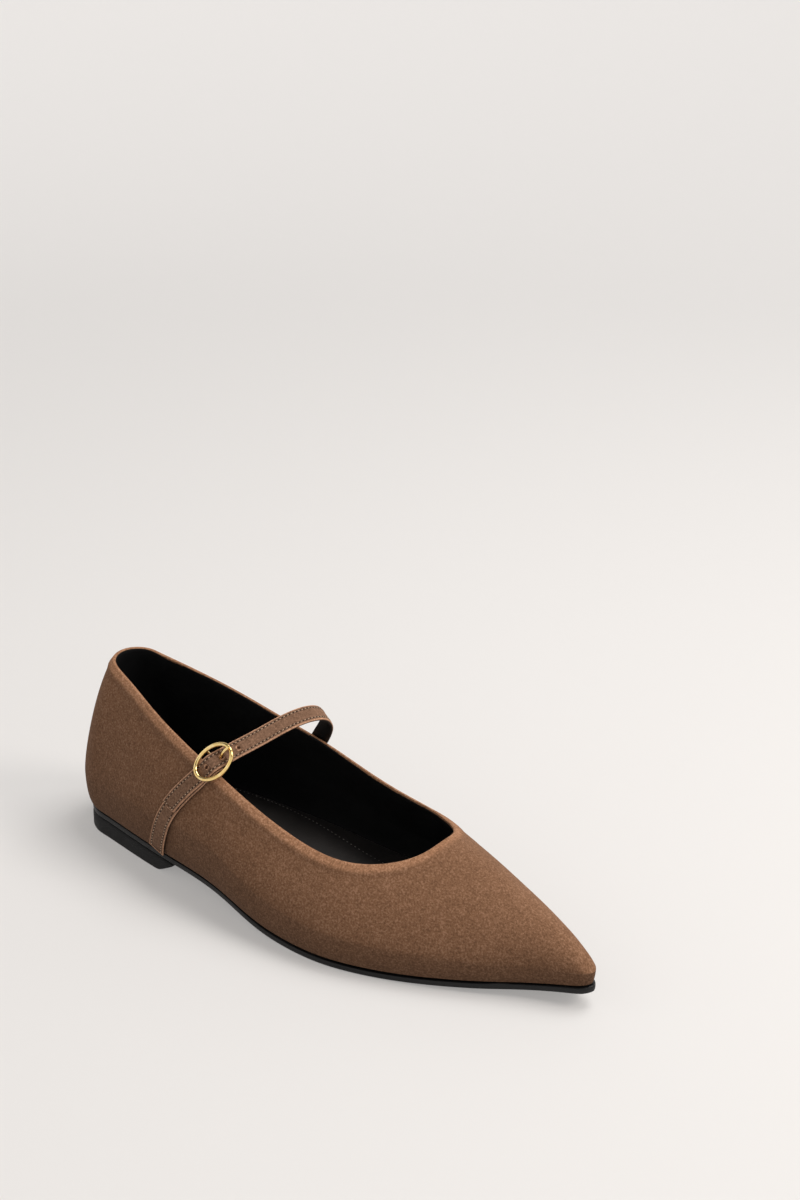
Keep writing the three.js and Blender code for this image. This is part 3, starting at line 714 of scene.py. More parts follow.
class Palette:
    """Every material of the shoe, built once."""

    def __init__(self) -> None:
        """Builds the shared groups and the materials."""
        nap = make_nap_group()
        grain = make_grain_group()
        light = (0.25, 0.14, 0.085)
        self.suede = Suede("brown_suede", (0.14, 0.07, 0.037), light, 0.95, sheen=0.12, relief=0.6, nap=nap,
                           edge_nap_and_highlight=0.6, edge_width=3.6).build()
        self.strap_suede = Suede("strap_suede", (0.15, 0.083, 0.051), light, 0.95, sheen=0.12, relief=0.5,
                                 nap=nap, edge_nap_and_highlight=1.9, edge_width=0.75, seam_at=1.4, seam_width=0.55,
                                 side_painted_shade=0.8, top_painted_light=1.25).build()
        # The dark edge material on the sides and end caps of strap and tab is painted shade, the shadow line
        # round their edges.
        self.strap_edge = Smooth("strap_edge_painted_shade", (0.02, 0.01, 0.006), (0.03, 0.016, 0.01), 0.7,
                                 grain=grain, grain_scale=1400.0, relief=0.1).build()
        self.lining = Smooth("black_lining", (0.004, 0.004, 0.0045), (0.007, 0.007, 0.007), 0.62,
                             grain=grain, grain_scale=1400.0, relief=0.15).build()
        self.sock = Smooth("dark_sock", (0.027, 0.024, 0.023), (0.036, 0.032, 0.03), 0.55,
                           grain=grain, grain_scale=1600.0, relief=0.2).build()
        self.sole = Smooth("black_sole", (0.003, 0.003, 0.0035), (0.006, 0.006, 0.006), 0.42,
                           grain=grain, grain_scale=900.0, relief=0.08, coat=0.08).build()
        self.heel = Smooth("black_heel", (0.003, 0.003, 0.0035), (0.005, 0.005, 0.005), 0.6,
                           grain=grain, grain_scale=900.0, relief=0.1).build()
        self.thread = Smooth("light_thread", (0.42, 0.29, 0.2), (0.55, 0.4, 0.28), 0.8,
                             grain=grain, grain_scale=4000.0, relief=0.4).build()
        self.sock_thread = Smooth("grey_thread", (0.32, 0.3, 0.28), (0.42, 0.4, 0.38), 0.8,
                                  grain=grain, grain_scale=4000.0, relief=0.4).build()
        self.gold = Polished("gold_metal", (0.9, 0.64, 0.25), (0.97, 0.78, 0.42), 0.1,
                             metallic=1.0, relief=0.03).build()


@dataclass(frozen=True)
class Softness:
    """A soft trough or ridge pressed into the upper by hand.

    It runs between two places on one side, each given as shares of the last's length and of the climb to the
    topline.
    """

    side: Side
    start: tuple[float, float]
    end: tuple[float, float]
    width: float
    depth: float

    def press(self, last: Last, point: Vector) -> float:
        """How far the surface moves out at a point.

        Args:
            last: The last that the upper follows.
            point: A point of the upper, in the last's millimetres.

        Returns:
            The move, in millimetres.
        """
        if point.y * self.side.value < 0:
            return 0.0
        ends = []
        for share, climb in (self.start, self.end):
            x = share * last.length
            height = lerp(last.feather(x), last.topline_height(x), climb)
            ends.append(Vector((x, 0.0, height)))
        flat = Vector((point.x, 0.0, point.z))
        line = ends[1] - ends[0]
        t = clamp((flat - ends[0]).dot(line) / line.length_squared)
        away = (flat - ends[0] - line * t).length / self.width
        return self.depth * math.exp(-away * away) * math.sin(math.pi * lerp(0.15, 0.85, t))


SOFT_SPOTS = (
    Softness(Side.OUTER, (0.16, 0.86), (0.31, 0.84), 4.5, -0.35),
    Softness(Side.OUTER, (0.38, 0.78), (0.6, 0.72), 4.0, -0.3),
    Softness(Side.OUTER, (0.4, 0.2), (0.43, 0.75), 5.0, -0.3),
    Softness(Side.INNER, (0.2, 0.85), (0.55, 0.75), 4.5, -0.3),
    Softness(Side.INNER, (0.62, 0.9), (0.7, 1.25), 5.0, 0.35),
    Softness(Side.OUTER, (0.05, 0.35), (0.2, 0.3), 9.0, 0.3),
    Softness(Side.OUTER, (0.62, 0.55), (0.8, 0.6), 10.0, -0.25),
)


@dataclass
class Upper:
    """The suede upper with its black lining."""

    last: Last
    frame: Frame
    palette: Palette
    subdivisions: int = 2
    roll_width: float = 5.0
    roll_height: float = 0.38
    soft_from: float = 5.0
    heart_height: float = 4.0
    roll_turn: float = 0.2
    suede_turn: float = 0.3
    lining_start: float = 1.75
    seat_height: float = 1.2

    def make(self) -> None:
        """Builds the finished upper from a merged copy of its solid."""
        bm = bmesh.new()
        bm.from_mesh(bpy.data.objects["upper"].data)
        bmesh.ops.remove_doubles(bm, verts=bm.verts, dist=MERGE_DISTANCE * MM)
        bmesh.ops.join_triangles(bm, faces=bm.faces, angle_face_threshold=0.7, angle_shape_threshold=0.9)
        obj = new_object("upper_suede", bm, [self.palette.suede, self.palette.lining])
        finer = obj.modifiers.new("finer", "SUBSURF")
        finer.levels = finer.render_levels = self.subdivisions
        bake_modifiers(obj)
        self.dress(obj)
        settle(obj, Slot.SUEDE, "upper")

    def dress(self, obj: bpy.types.Object) -> None:
        """Rolls the collar's edge, parts suede from lining and stores the edge distance.

        Args:
            obj: The subdivided upper.
        """
        mesh = obj.data
        collar = self.last.collar()
        tree = KDTree(len(collar))
        for i, point in enumerate(collar):
            tree.insert(point, i)
        tree.balance()
        edge = mesh.attributes.new("edge_mm", "FLOAT", "POINT")
        moved = []
        for vertex in mesh.vertices:
            point = self.frame.local(vertex.co)
            distance = tree.find(point)[2]
            edge.data[vertex.index].value = distance
            out = self.faces_out(point, vertex.normal)
            shift = 0.0
            if out > self.roll_turn:
                shift = self.roll_height * math.sin(math.pi * clamp(distance / self.roll_width)) ** 2
                pressed = sum(spot.press(self.last, point) for spot in SOFT_SPOTS)
                shift += pressed * clamp(distance / self.soft_from)
            low = clamp(1 - (point.z - self.last.feather(point.x)) / self.seat_height)
            drop = Vector((0.0, 0.0, self.last.clearance * low * MM))
            moved.append(vertex.co + vertex.normal * (shift * MM) - drop)
        for vertex, place in zip(mesh.vertices, moved):
            vertex.co = place
        for polygon in mesh.polygons:
            point = self.frame.local(polygon.center)
            distance = tree.find(point)[2]
            suede = self.faces_out(point, polygon.normal) > self.suede_turn or distance < self.lining_start
            polygon.material_index = 0 if suede else 1

    def faces_out(self, point: Vector, normal: Vector) -> float:
        """How far a normal turns away from the middle of the shoe.

        Args:
            point: Where the normal stands, in the last's millimetres.
            normal: The normal.

        Returns:
            A share from -1, straight in, to 1, straight out.
        """
        x = clamp(point.x, self.last.at[0] * self.last.length, self.last.at[-2] * self.last.length)
        out = point - Vector((x, 0.0, self.last.feather(x) + self.heart_height))
        return out.normalized().dot(normal)


@dataclass
class Band:
    """A strip of leather swept along a path, with grooves for its stitches."""

    name: str
    width: float
    thickness: float
    path: list[Placement]
    frame: Frame
    corner: float = 0.0
    groove: float = 0.0
    groove_in: float = 1.4
    groove_half: float = 0.35
    crown: float = 0.03
    under_inset: float = 0.25
    skew: float = 0.0
    skew_run: float = 8.0
    edge_softness: float = 0.55
    end_thinness: float = 0.6
    end_thin_run: float = 0.6
    end_places: tuple[float, ...] = (0.0, 0.12, 0.35, 0.7, 1.1)
    end_run: float = 1.6
    off_face: float = 9.0
    distances: list[float] = field(default_factory=list)

    def __post_init__(self) -> None:
        """Measures the path."""
        self.distances = [0.0]
        for before, after in zip(self.path, self.path[1:]):
            self.distances.append(self.distances[-1] + (after.point - before.point).length)

    @property
    def length(self) -> float:
        """Length along the path."""
        return self.distances[-1]

    def station(self, distance: float) -> tuple[Vector, Vector, Vector, Vector]:
        """Where the band is at a distance along it.

        Args:
            distance: How far along the band.

        Returns:
            The point, and the run, facing and across directions there.
        """
        i = 0
        while i < len(self.path) - 2 and distance > self.distances[i + 1]:
            i += 1
        t = clamp((distance - self.distances[i]) / (self.distances[i + 1] - self.distances[i]))
        point = self.path[i].point.lerp(self.path[i + 1].point, t)
        run = self.run(i).lerp(self.run(i + 1), t).normalized()
        facing = self.path[i].facing.lerp(self.path[i + 1].facing, t)
        facing = (facing - run * facing.dot(run)).normalized()
        return point, run, facing, run.cross(facing)

    def run(self, i: int) -> Vector:
        """Direction of the path at one of its points.

        Args:
            i: The point's number.

        Returns:
            The direction.
        """
        before = self.path[max(i - 1, 0)].point
        after = self.path[min(i + 1, len(self.path) - 1)].point
        return (after - before).normalized()

    def slanted(self, distance: float, across: float) -> float:
        """A distance along the band, slanted near its start as its end is cut."""
        return distance + self.skew * across * clamp(1 - distance / self.skew_run)

    def half_width(self, distance: float) -> float:
        """Half the band's width, with its rounded end corners.

        Args:
            distance: How far along the band.

        Returns:
            The half width there.
        """
        if self.corner <= 0:
            return self.width / 2
        left = clamp(1 - distance / self.corner)
        return self.width / 2 - self.corner * (1 - math.sqrt(1 - left * left))

    def spot(self, distance: float, across: float, out: float = 0.0) -> Placement:
        """A place on the band's face, in the frame.

        Args:
            distance: How far along the band.
            across: How far from its middle line.
            out: How far above its outer face.

        Returns:
            The place and the way that the face points.
        """
        point, _, facing, side = self.station(self.slanted(distance, across))
        top = self.thickness / 2 + out
        return Placement(self.frame.place(point + side * across + facing * top), facing)

    def profile(self) -> list[tuple[float, float, int]]:
        """The band's cross section.

        Returns:
            For each point its place across and out, and the material of the face that follows it.
        """
        half, top = self.width / 2, self.thickness / 2
        soft = top * self.edge_softness
        mid = half - self.groove_in
        wide = self.groove_half
        right = [
            (half, top - soft * 1.3), (half - soft * 0.35, top - soft * 0.4), (half - soft, top - 0.02),
            (mid + wide, top), (mid, top - self.groove), (mid - wide, top),
        ]
        left = [(-across, out) for across, out in reversed(right)]
        face = [(across, out, Leather.FACE) for across, out in (*right, (0.0, top + self.crown), *left[:-1])]
        inset = half - self.under_inset
        low = -top * 0.3
        return [
            *face, (*left[-1], Leather.EDGE), (-half, low, Leather.EDGE), (-inset, -top, Leather.UNDER),
            (0.0, -top, Leather.UNDER), (inset, -top, Leather.EDGE), (half, low, Leather.EDGE),
        ]

    def make(self, materials: Sequence[bpy.types.Material], step: float = 0.8) -> bpy.types.Object:
        """Sweeps the band's profile along its path.

        Args:
            materials: The face's, the underside's and the edge's material.
            step: Distance between stations.

        Returns:
            The band, with its edge distance stored.
        """
        profile = self.profile()
        count = max(2, round((self.length - self.end_run) / step))
        even = [lerp(self.end_run, self.length, i / count) for i in range(count + 1)]
        places = [*self.end_places, *even]
        bm = bmesh.new()
        edge_layer = bm.verts.layers.float.new("edge_mm")

        def seat(vertex: bmesh.types.BMVert, index: int, distance: float) -> None:
            """Puts one profile vertex in its place."""
            across, out, _ = profile[index]
            point, _, facing, side = self.station(self.slanted(distance, across))
            squeeze = self.half_width(distance) / (self.width / 2)
            thin = 1.0
            if self.corner > 0:
                thin = lerp(self.end_thinness, 1.0, clamp(distance / self.end_thin_run))
            vertex.co = self.frame.place(point + side * (across * squeeze) + facing * (out * thin))
            inside = self.width / 2 - abs(across)
            vertex[edge_layer] = min(inside, distance) if out > 0 else self.off_face

        ring = [bm.verts.new() for _ in profile]
        for i, vertex in enumerate(ring):
            seat(vertex, i, places[0])
        laid = list(ring)
        edges = [bm.edges.new((ring[i], ring[(i + 1) % len(ring)])) for i in range(len(ring))]
        # The end caps take the dark edge material, which is painted shade at the band's ends.
        bm.faces.new(ring).material_index = Leather.EDGE
        for distance in places[1:]:
            made = bmesh.ops.extrude_edge_only(bm, edges=edges)["geom"]
            fresh = {item for item in made if isinstance(item, bmesh.types.BMVert)}
            ring = [next(e.other_vert(v) for e in v.link_edges if e.other_vert(v) in fresh) for v in ring]
            laid += ring
            for i, vertex in enumerate(ring):
                seat(vertex, i, distance)
            edges = [bm.edges.get((ring[i], ring[(i + 1) % len(ring)])) for i in range(len(ring))]
            for i, edge in enumerate(edges):
                for face in edge.link_faces:
                    face.material_index = profile[i][2]
        bm.faces.new(list(reversed(ring))).material_index = Leather.EDGE
        sort_mesh(bm, laid)
        bmesh.ops.recalc_face_normals(bm, faces=bm.faces)
        return new_object(self.name, bm, materials)


HOLE_DEPTH = 4.5
HOLE_SEGMENTS = 20


def drill(obj: bpy.types.Object, holes: Iterable[tuple[Vector, Vector]], radius: float) -> None:
    """Cuts round holes through a piece.

    Args:
        obj: The piece.
        holes: The middle and the axis of each hole, in the frame.
        radius: Their radius in millimetres.
    """
    bm = bmesh.new()
    for middle, axis in holes:
        turn = axis.to_track_quat("Z", "Y").to_matrix().to_4x4()
        place = Matrix.Translation(middle) @ turn
        bmesh.ops.create_cone(bm, cap_ends=True, segments=HOLE_SEGMENTS, radius1=radius * MM,
                              radius2=radius * MM, depth=HOLE_DEPTH * MM, matrix=place)
    cutter = new_object("hole_cutter", bm, [])
    cut = obj.modifiers.new("holes", "BOOLEAN")
    cut.object = cutter
    cut.solver = "EXACT"
    bake_modifiers(obj)
    bpy.data.objects.remove(cutter)


class Stitching:
    """Rows of short thread stitches gathered into one piece."""

    def __init__(self, name: str, thread: bpy.types.Material, length: float, radius: float) -> None:
        """Starts an empty set.

        Args:
            name: The piece's name.
            thread: The thread's material.
            length: One stitch's length.
            radius: Its radius.
        """
        self.name = name
        self.thread = thread
        self.length = length
        self.radius = radius
        self.bm = bmesh.new()
        self.count = 0

    def add(self, place: Vector, run: Vector, facing: Vector) -> None:
        """Lays one stitch.

        Args:
            place: Its middle, in the frame.
            run: The way that it lies.
            facing: The way that its ground faces.
        """
        run = (run - facing * run.dot(facing)).normalized()
        turn = Matrix((run, facing.cross(run), facing)).transposed().to_4x4()
        size = Matrix.Diagonal((self.length / 2 * MM, self.radius * MM, self.radius * 0.8 * MM, 1.0))
        matrix = Matrix.Translation(place) @ turn @ size
        bmesh.ops.create_icosphere(self.bm, subdivisions=1, radius=1.0, matrix=matrix)
        self.count += 1

    def row(self, places: Sequence[Placement]) -> None:
        """Lays a stitch at each place, along the row.

        Args:
            places: The stitches' middles, in order.
        """
        for i, spot in enumerate(places):
            before = places[max(i - 1, 0)].point
            after = places[min(i + 1, len(places) - 1)].point
            self.add(spot.point, after - before, spot.facing)

    def finish(self, slot: Slot) -> None:
        """Closes the set and ties it to the frame."""
        settle(new_object(self.name, self.bm, [self.thread]), slot)
        log.info("%d stitches in %s", self.count, self.name)


def catmull(points: Sequence[Vector], steps: int) -> list[Vector]:
    """A smooth centripetal curve through points, open at its ends.

    Args:
        points: The points that it passes.
        steps: Steps in each span.

    Returns:
        The curve's points.
    """
    ghost = [points[0] * 2 - points[1], *points, points[-1] * 2 - points[-2]]
    curve = []
    for i in range(1, len(ghost) - 2):
        p0, p1, p2, p3 = ghost[i - 1 : i + 3]
        t1 = (p1 - p0).length ** 0.5
        t2 = t1 + (p2 - p1).length ** 0.5
        t3 = t2 + (p3 - p2).length ** 0.5
        for k in range(steps):
            t = lerp(t1, t2, k / steps)
            a1 = p0 * ((t1 - t) / t1) + p1 * (t / t1)
            a2 = p1 * ((t2 - t) / (t2 - t1)) + p2 * ((t - t1) / (t2 - t1))
            a3 = p2 * ((t3 - t) / (t3 - t2)) + p3 * ((t - t2) / (t3 - t2))
            b1 = a1 * ((t2 - t) / t2) + a2 * (t / t2)
            b2 = a2 * ((t3 - t) / (t3 - t1)) + a3 * ((t - t1) / (t3 - t1))
            curve.append(b1 * ((t2 - t) / (t2 - t1)) + b2 * ((t - t1) / (t2 - t1)))
    curve.append(points[-1])
    return curve


def smooth_path(knots: Sequence[Placement], steps: int = 8) -> list[Placement]:
    """Runs a smooth path through knots and turns its facing evenly between them.

    Args:
        knots: The places that it passes.
        steps: Steps in each span.

    Returns:
        The path's places, eased so that no knot shows as a corner.
    """
    points = catmull([knot.point for knot in knots], steps)
    path = []
    for i, point in enumerate(points):
        span = min(i // steps, len(knots) - 2)
        share = (i - span * steps) / steps
        path.append(Placement(point, knots[span].facing.lerp(knots[span + 1].facing, share)))
    for _ in range(steps * 2):
        eased = [path[0]]
        for before, here, after in zip(path, path[1:], path[2:]):
            middle = (before.point + after.point) / 2
            facing = (before.facing + after.facing) / 2
            eased.append(Placement(here.point.lerp(middle, 0.5), here.facing.lerp(facing, 0.5)))
        path = [*eased, path[-1]]
    return path


@dataclass
class Fastening:
    """The strap, its base tab and the oval buckle on the outer side."""

    last: Last
    frame: Frame
    palette: Palette
    strap_width: float = 7.9
    strap_thickness: float = 1.3
    strap_rise: float = 17.4
    strap_lean: float = 0.59
    strap_corner: float = 1.2
    strap_ease: float = 0.5
    standoff: float = 0.2
    tab_width: float = 8.6
    tab_thickness: float = 0.9
    hole_radius: float = 0.85
    hole_spacing: float = 7.3
    hole_place: float = 3.7
    buckle_length: float = 18.8
    buckle_width: float = 14.2
    buckle_wire: float = 1.7
    buckle_bow: float = 0.4
    buckle_tilt: float = 0.12
    bar_diameter: float = 1.0
    prong_diameter: float = 1.1
    wrap_clearance: float = 0.2
    strap_under_ring: float = 0.4
    ring_level: float = 2.7
    foot_climb: float = 0.06
    tail_end_climb: float = 0.545
    tail_top_climb: float = 0.82
    buckle_climb: float = 0.9
    buckle_seat: float = 0.565
    tail_skew: float = 0.25
    slant: tuple[tuple[float, float, float], ...] = (
        (0.0, 0.251, 0.314), (0.57, 0.301, 0.354), (0.89, 0.341, 0.387), (1.0, 0.355, 0.4),
    )
    arch: tuple[tuple[float, float], ...] = (
        (0.15, 0.38), (0.345, 0.62), (0.5, 0.87), (0.64, 0.99), (0.76, 0.98), (0.86, 0.86), (0.93, 0.66),
        (0.985, 0.42),
    )
    prong_path: tuple[tuple[float, float], ...] = (
        (-0.25, -0.11), (0.0, 0.0), (0.5, 0.0), (1.0, 0.35), (1.5, 0.85), (2.0, 1.0),
    )
    prong_point: tuple[float, float] = (0.85, 0.75)
    side_knots: int = 9
    ring_knots: int = 48
    fold_start: float = -0.28
    strap_groove: float = 0.12
    tab_groove: float = 0.08
    hole_level: float = 1.4
    stitch_length: float = 1.15
    stitch_radius: float = 0.24
    stitch_pitch: float = 1.75
    stitch_inset: float = 1.4
    stitch_margin: float = 1.5
    hole_shade_length: float = 0.75
    hole_shade_radius: float = 0.3
    hole_shade_sink: float = 0.08

    def __post_init__(self) -> None:
        """Works out how the layers lie on each other and where the buckle sits."""
        gap = self.last.clearance
        self.tab_offset = gap + self.standoff + self.tab_thickness / 2
        self.tail_offset = self.tab_offset + (self.tab_thickness + self.strap_thickness) / 2 + gap
        self.inner_offset = gap + self.standoff + self.strap_thickness / 2
        self.wrap_radius = (self.bar_diameter + self.tab_thickness) / 2 + self.wrap_clearance
        self.over_bar = self.wrap_radius + (self.tab_thickness + self.strap_thickness) / 2 + gap
        self.outer_collar = self.on_side(Side.OUTER, 1.0, self.tail_offset).point
        self.inner_collar = self.on_side(Side.INNER, 1.0, self.inner_offset + self.strap_ease)
        self.rising = Vector((self.strap_lean, 0.0, 1.0))
        self.across = (self.inner_collar.point - self.outer_collar).cross(self.rising).normalized()
        lower = self.on_side(Side.OUTER, self.buckle_climb, self.tail_offset + self.strap_ease).point
        upper = self.arch_point(*self.arch[0])
        self.run = (upper - lower).normalized()
        self.out = self.across.cross(self.run).normalized()
        self.centre = lower.lerp(upper, self.buckle_seat) - self.out * self.strap_under_ring
        self.side = self.run.cross(self.out)
        self.half_run = (self.buckle_length - self.buckle_wire) / 2
        self.half_across = (self.buckle_width - self.buckle_wire) / 2

    def on_side(self, side: Side, climb: float, offset: float) -> Placement:
        """A place where the strap crosses a side.

        Args:
            side: Outer or inner side.
            climb: Share of the way from the feather line to the topline.
            offset: How far to stand off the upper.

        Returns:
            The place.
        """
        column = 1 if side is Side.OUTER else 2
        x = along([(row[0], row[column]) for row in self.slant], climb) * self.last.length
        height = lerp(self.last.feather(x), self.last.topline_height(x), climb)
        return self.last.on_side(side, x, height, offset)

    def up_side(self, side: Side, low: float, high: float, offset: float) -> list[Placement]:
        """Places up one side, or down it where low is the higher climb.

        Args:
            side: Outer or inner side.
            low: The climb of the first place.
            high: The climb of the last place.
            offset: How far to stand off the upper.

        Returns:
            The places, evenly spaced.
        """
        last = self.side_knots
        return [self.on_side(side, lerp(low, high, i / last), offset) for i in range(last + 1)]

    def arch_point(self, across: float, rise: float) -> Vector:
        """A point of the strap's free arch."""
        base = self.outer_collar.lerp(self.inner_collar.point, across)
        return base + self.rising * (rise * self.strap_rise)

    def at(self, run: float, out: float, across: float = 0.0) -> Vector:
        """A point in the buckle's own directions."""
        return self.centre + self.run * run + self.out * out + self.side * across

    def ring_point(self, angle: float) -> Vector:
        """A point of the oval ring's middle line.

        Args:
            angle: The turn round the oval, from the prong's tip.

        Returns:
            The point.
        """
        run = self.half_run * math.cos(angle)
        level = self.ring_level + self.buckle_tilt * run + self.buckle_bow * math.cos(angle) ** 2
        return self.at(run, level, self.half_across * math.sin(angle))

    def strap_path(self) -> list[Placement]:
        """The strap's middle line from its tail to its foot on the inner side.

        Returns:
            The places along it.
        """
        knots = self.up_side(Side.OUTER, self.tail_end_climb, self.tail_top_climb, self.tail_offset)
        levels = ((-0.8, self.strap_under_ring), (-0.25, self.over_bar), (0.05, self.over_bar),
                  (0.75, self.strap_under_ring))
        knots += [Placement(self.at(share * self.half_run, level), self.out) for share, level in levels]
        points = [self.arch_point(*row) for row in self.arch]
        for i, point in enumerate(points):
            before = points[max(i - 1, 0)]
            after = points[i + 1] if i < len(points) - 1 else self.inner_collar.point
            knots.append(Placement(point, self.across.cross(after - before).normalized()))
        knots.append(self.inner_collar)
        knots += self.up_side(Side.INNER, 1.0, self.foot_climb, self.inner_offset)[1:]
        return smooth_path(knots)

    def tab_path(self) -> list[Placement]:
        """The tab's middle line from the feather line up and round the bar.

        Returns:
            The places along it.
        """
        knots = self.up_side(Side.OUTER, self.foot_climb, self.tail_top_climb, self.tab_offset)
        knots.append(self.on_side(Side.OUTER, self.buckle_climb, self.tab_offset))
        knots.append(Placement(self.at(self.fold_start * self.half_run, self.wrap_radius), self.out))
        for turn in range(90, -91, -30):
            angle = math.radians(turn)
            out, run = math.sin(angle), math.cos(angle)
            knots.append(Placement(self.at(self.wrap_radius * run, self.wrap_radius * out),
                                   self.out * out + self.run * run))
        return smooth_path(knots)

    def wire(self, name: str, points: Sequence[Vector], diameter: float, closed: bool,
             taper: Callable[[float], float] = lambda share: 1.0) -> bpy.types.Object:
        """Bends a round wire through points.

        Args:
            name: The piece's name.
            points: Its middle line, in the last's millimetres.
            diameter: Its diameter.
            closed: Whether it joins its own start.
            taper: Share of the diameter along an open wire.

        Returns:
            The wire as a mesh.
        """
        curve = bpy.data.curves.new(name, "CURVE")
        curve.dimensions = "3D"
        curve.bevel_depth = diameter / 2 * MM
        curve.bevel_resolution = 6
        curve.use_fill_caps = True
        spline = curve.splines.new("NURBS" if closed else "POLY")
        spline.points.add(len(points) - 1)
        for i, (knot, point) in enumerate(zip(spline.points, points)):
            knot.co = (*self.frame.place(point), 1.0)
            knot.radius = 1.0 if closed else taper(i / (len(points) - 1))
        spline.use_cyclic_u = closed
        spline.order_u = 4
        spline.resolution_u = 3
        bent = bpy.data.objects.new(name + "_curve", curve)
        bpy.context.scene.collection.objects.link(bent)
        graph = bpy.context.evaluated_depsgraph_get()
        mesh = bpy.data.meshes.new_from_object(bent.evaluated_get(graph))
        bpy.data.objects.remove(bent)
        bm = bmesh.new()
        bm.from_mesh(mesh)
        bmesh.ops.remove_doubles(bm, verts=bm.verts, dist=MERGE_DISTANCE * MM)
        bmesh.ops.recalc_face_normals(bm, faces=bm.faces)
        return new_object(name, bm, [self.palette.gold])

    def make(self) -> None:
        """Builds the strap, the tab, their stitches and the buckle."""
        strap = Band("strap_suede", self.strap_width, self.strap_thickness, self.strap_path(), self.frame,
                     corner=self.strap_corner, groove=self.strap_groove, skew=self.tail_skew)
        leather = [self.palette.strap_suede, self.palette.lining, self.palette.strap_edge]
        band = strap.make(leather)
        middles = [self.at(self.hole_place + k * self.hole_spacing, self.hole_level) for k in (-1, 0, 1)]
        drill(band, [(self.frame.place(middle), self.out) for middle in middles], self.hole_radius)
        settle(band, Slot.SUEDE, "strap")
        tab = Band("tab_suede", self.tab_width, self.tab_thickness, self.tab_path(), self.frame,
                   groove=self.tab_groove)
        settle(tab.make(leather), Slot.SUEDE, "buckle_tab")
        self.stitch(strap, tab)
        self.make_buckle()

    def stitch(self, strap: Band, tab: Band) -> None:
        """Sews both edges of the strap, its tail end, and the tab as far as the tail.

        Args:
            strap: The strap.
            tab: The tab.
        """
        stitches = Stitching("strap_stitches", self.palette.thread, self.stitch_length, self.stitch_radius)
        # The dark marks between the stitches are painted shade for the stitch holes.
        hole_shade = Stitching("stitch_holes", self.palette.lining, self.hole_shade_length, self.hole_shade_radius)
        pitch, inset, margin = self.stitch_pitch, self.stitch_inset, self.stitch_margin
        tail_start = strap.station(0.0)[0]
        below_tail = min((tab.length * i / 100 for i in range(60)),
                         key=lambda distance: (tab.station(distance)[0] - tail_start).length)
        for piece, start, stop in ((strap, inset, strap.length - margin), (tab, margin, below_tail)):
            count = int((stop - start) / pitch)
            for side in (-1, 1):
                across = side * (piece.width / 2 - inset)
                along_band = [start + i * pitch for i in range(count)]
                stitches.row([piece.spot(here, across) for here in along_band])
                hole_shade.row([piece.spot(here + pitch / 2, across, -self.hole_shade_sink) for here in along_band])
        width = self.strap_width - 2 * inset
        count = int(width / pitch)
        shares = [(i + 0.5) / count for i in range(count)]
        stitches.row([strap.spot(inset, lerp(-width / 2, width / 2, share)) for share in shares])
        stitches.finish(Slot.SUEDE)
        hole_shade.finish(Slot.SUEDE)

    def make_buckle(self) -> None:
        """Bends the oval ring, its bar and the prong."""
        turns = (2 * math.pi * i / self.ring_knots for i in range(self.ring_knots))
        ring = self.wire("buckle_oval", [self.ring_point(turn) for turn in turns], self.buckle_wire, True)
        straight = self.tab_width / 2 + self.last.clearance
        middle = [self.at(0, 0, share * straight) for share in (-1, -0.5, 0.5, 1)]
        rod = [self.ring_point(-math.pi / 2), *middle, self.ring_point(math.pi / 2)]
        bar = self.wire("buckle_bar", catmull(rod, 6), self.bar_diameter, False)
        settle(ring, Slot.BUCKLE, "buckle_ring")
        settle(bar, Slot.BUCKLE)
        start, tip = self.prong_point
        prong = self.wire("prong_pin", catmull(self.prong_points(), 8), self.prong_diameter, False,
                          lambda share: lerp(1.0, tip, clamp((share - start) / (1 - start))))
        settle(prong, Slot.BUCKLE, "buckle_prong")

    def prong_points(self) -> list[Vector]:
        """The prong's middle line, from the bar up through the strap and over the ring.

        Returns:
            The points along it.
        """
        seat = (self.bar_diameter + self.prong_diameter) / 2 + self.wrap_clearance
        ring_tip = self.ring_level + self.buckle_tilt * self.half_run + self.buckle_bow
        tip = ring_tip + (self.buckle_wire + self.prong_diameter) / 2 + self.last.clearance
        points = []
        for run, rise in self.prong_path:
            place = min(run, 1.0) * self.hole_place + max(run - 1.0, 0.0) * (self.half_run - self.hole_place)
            points.append(self.at(place, lerp(seat, tip, rise)))
        return [*points, self.at(self.half_run + self.buckle_wire / 2, tip)]


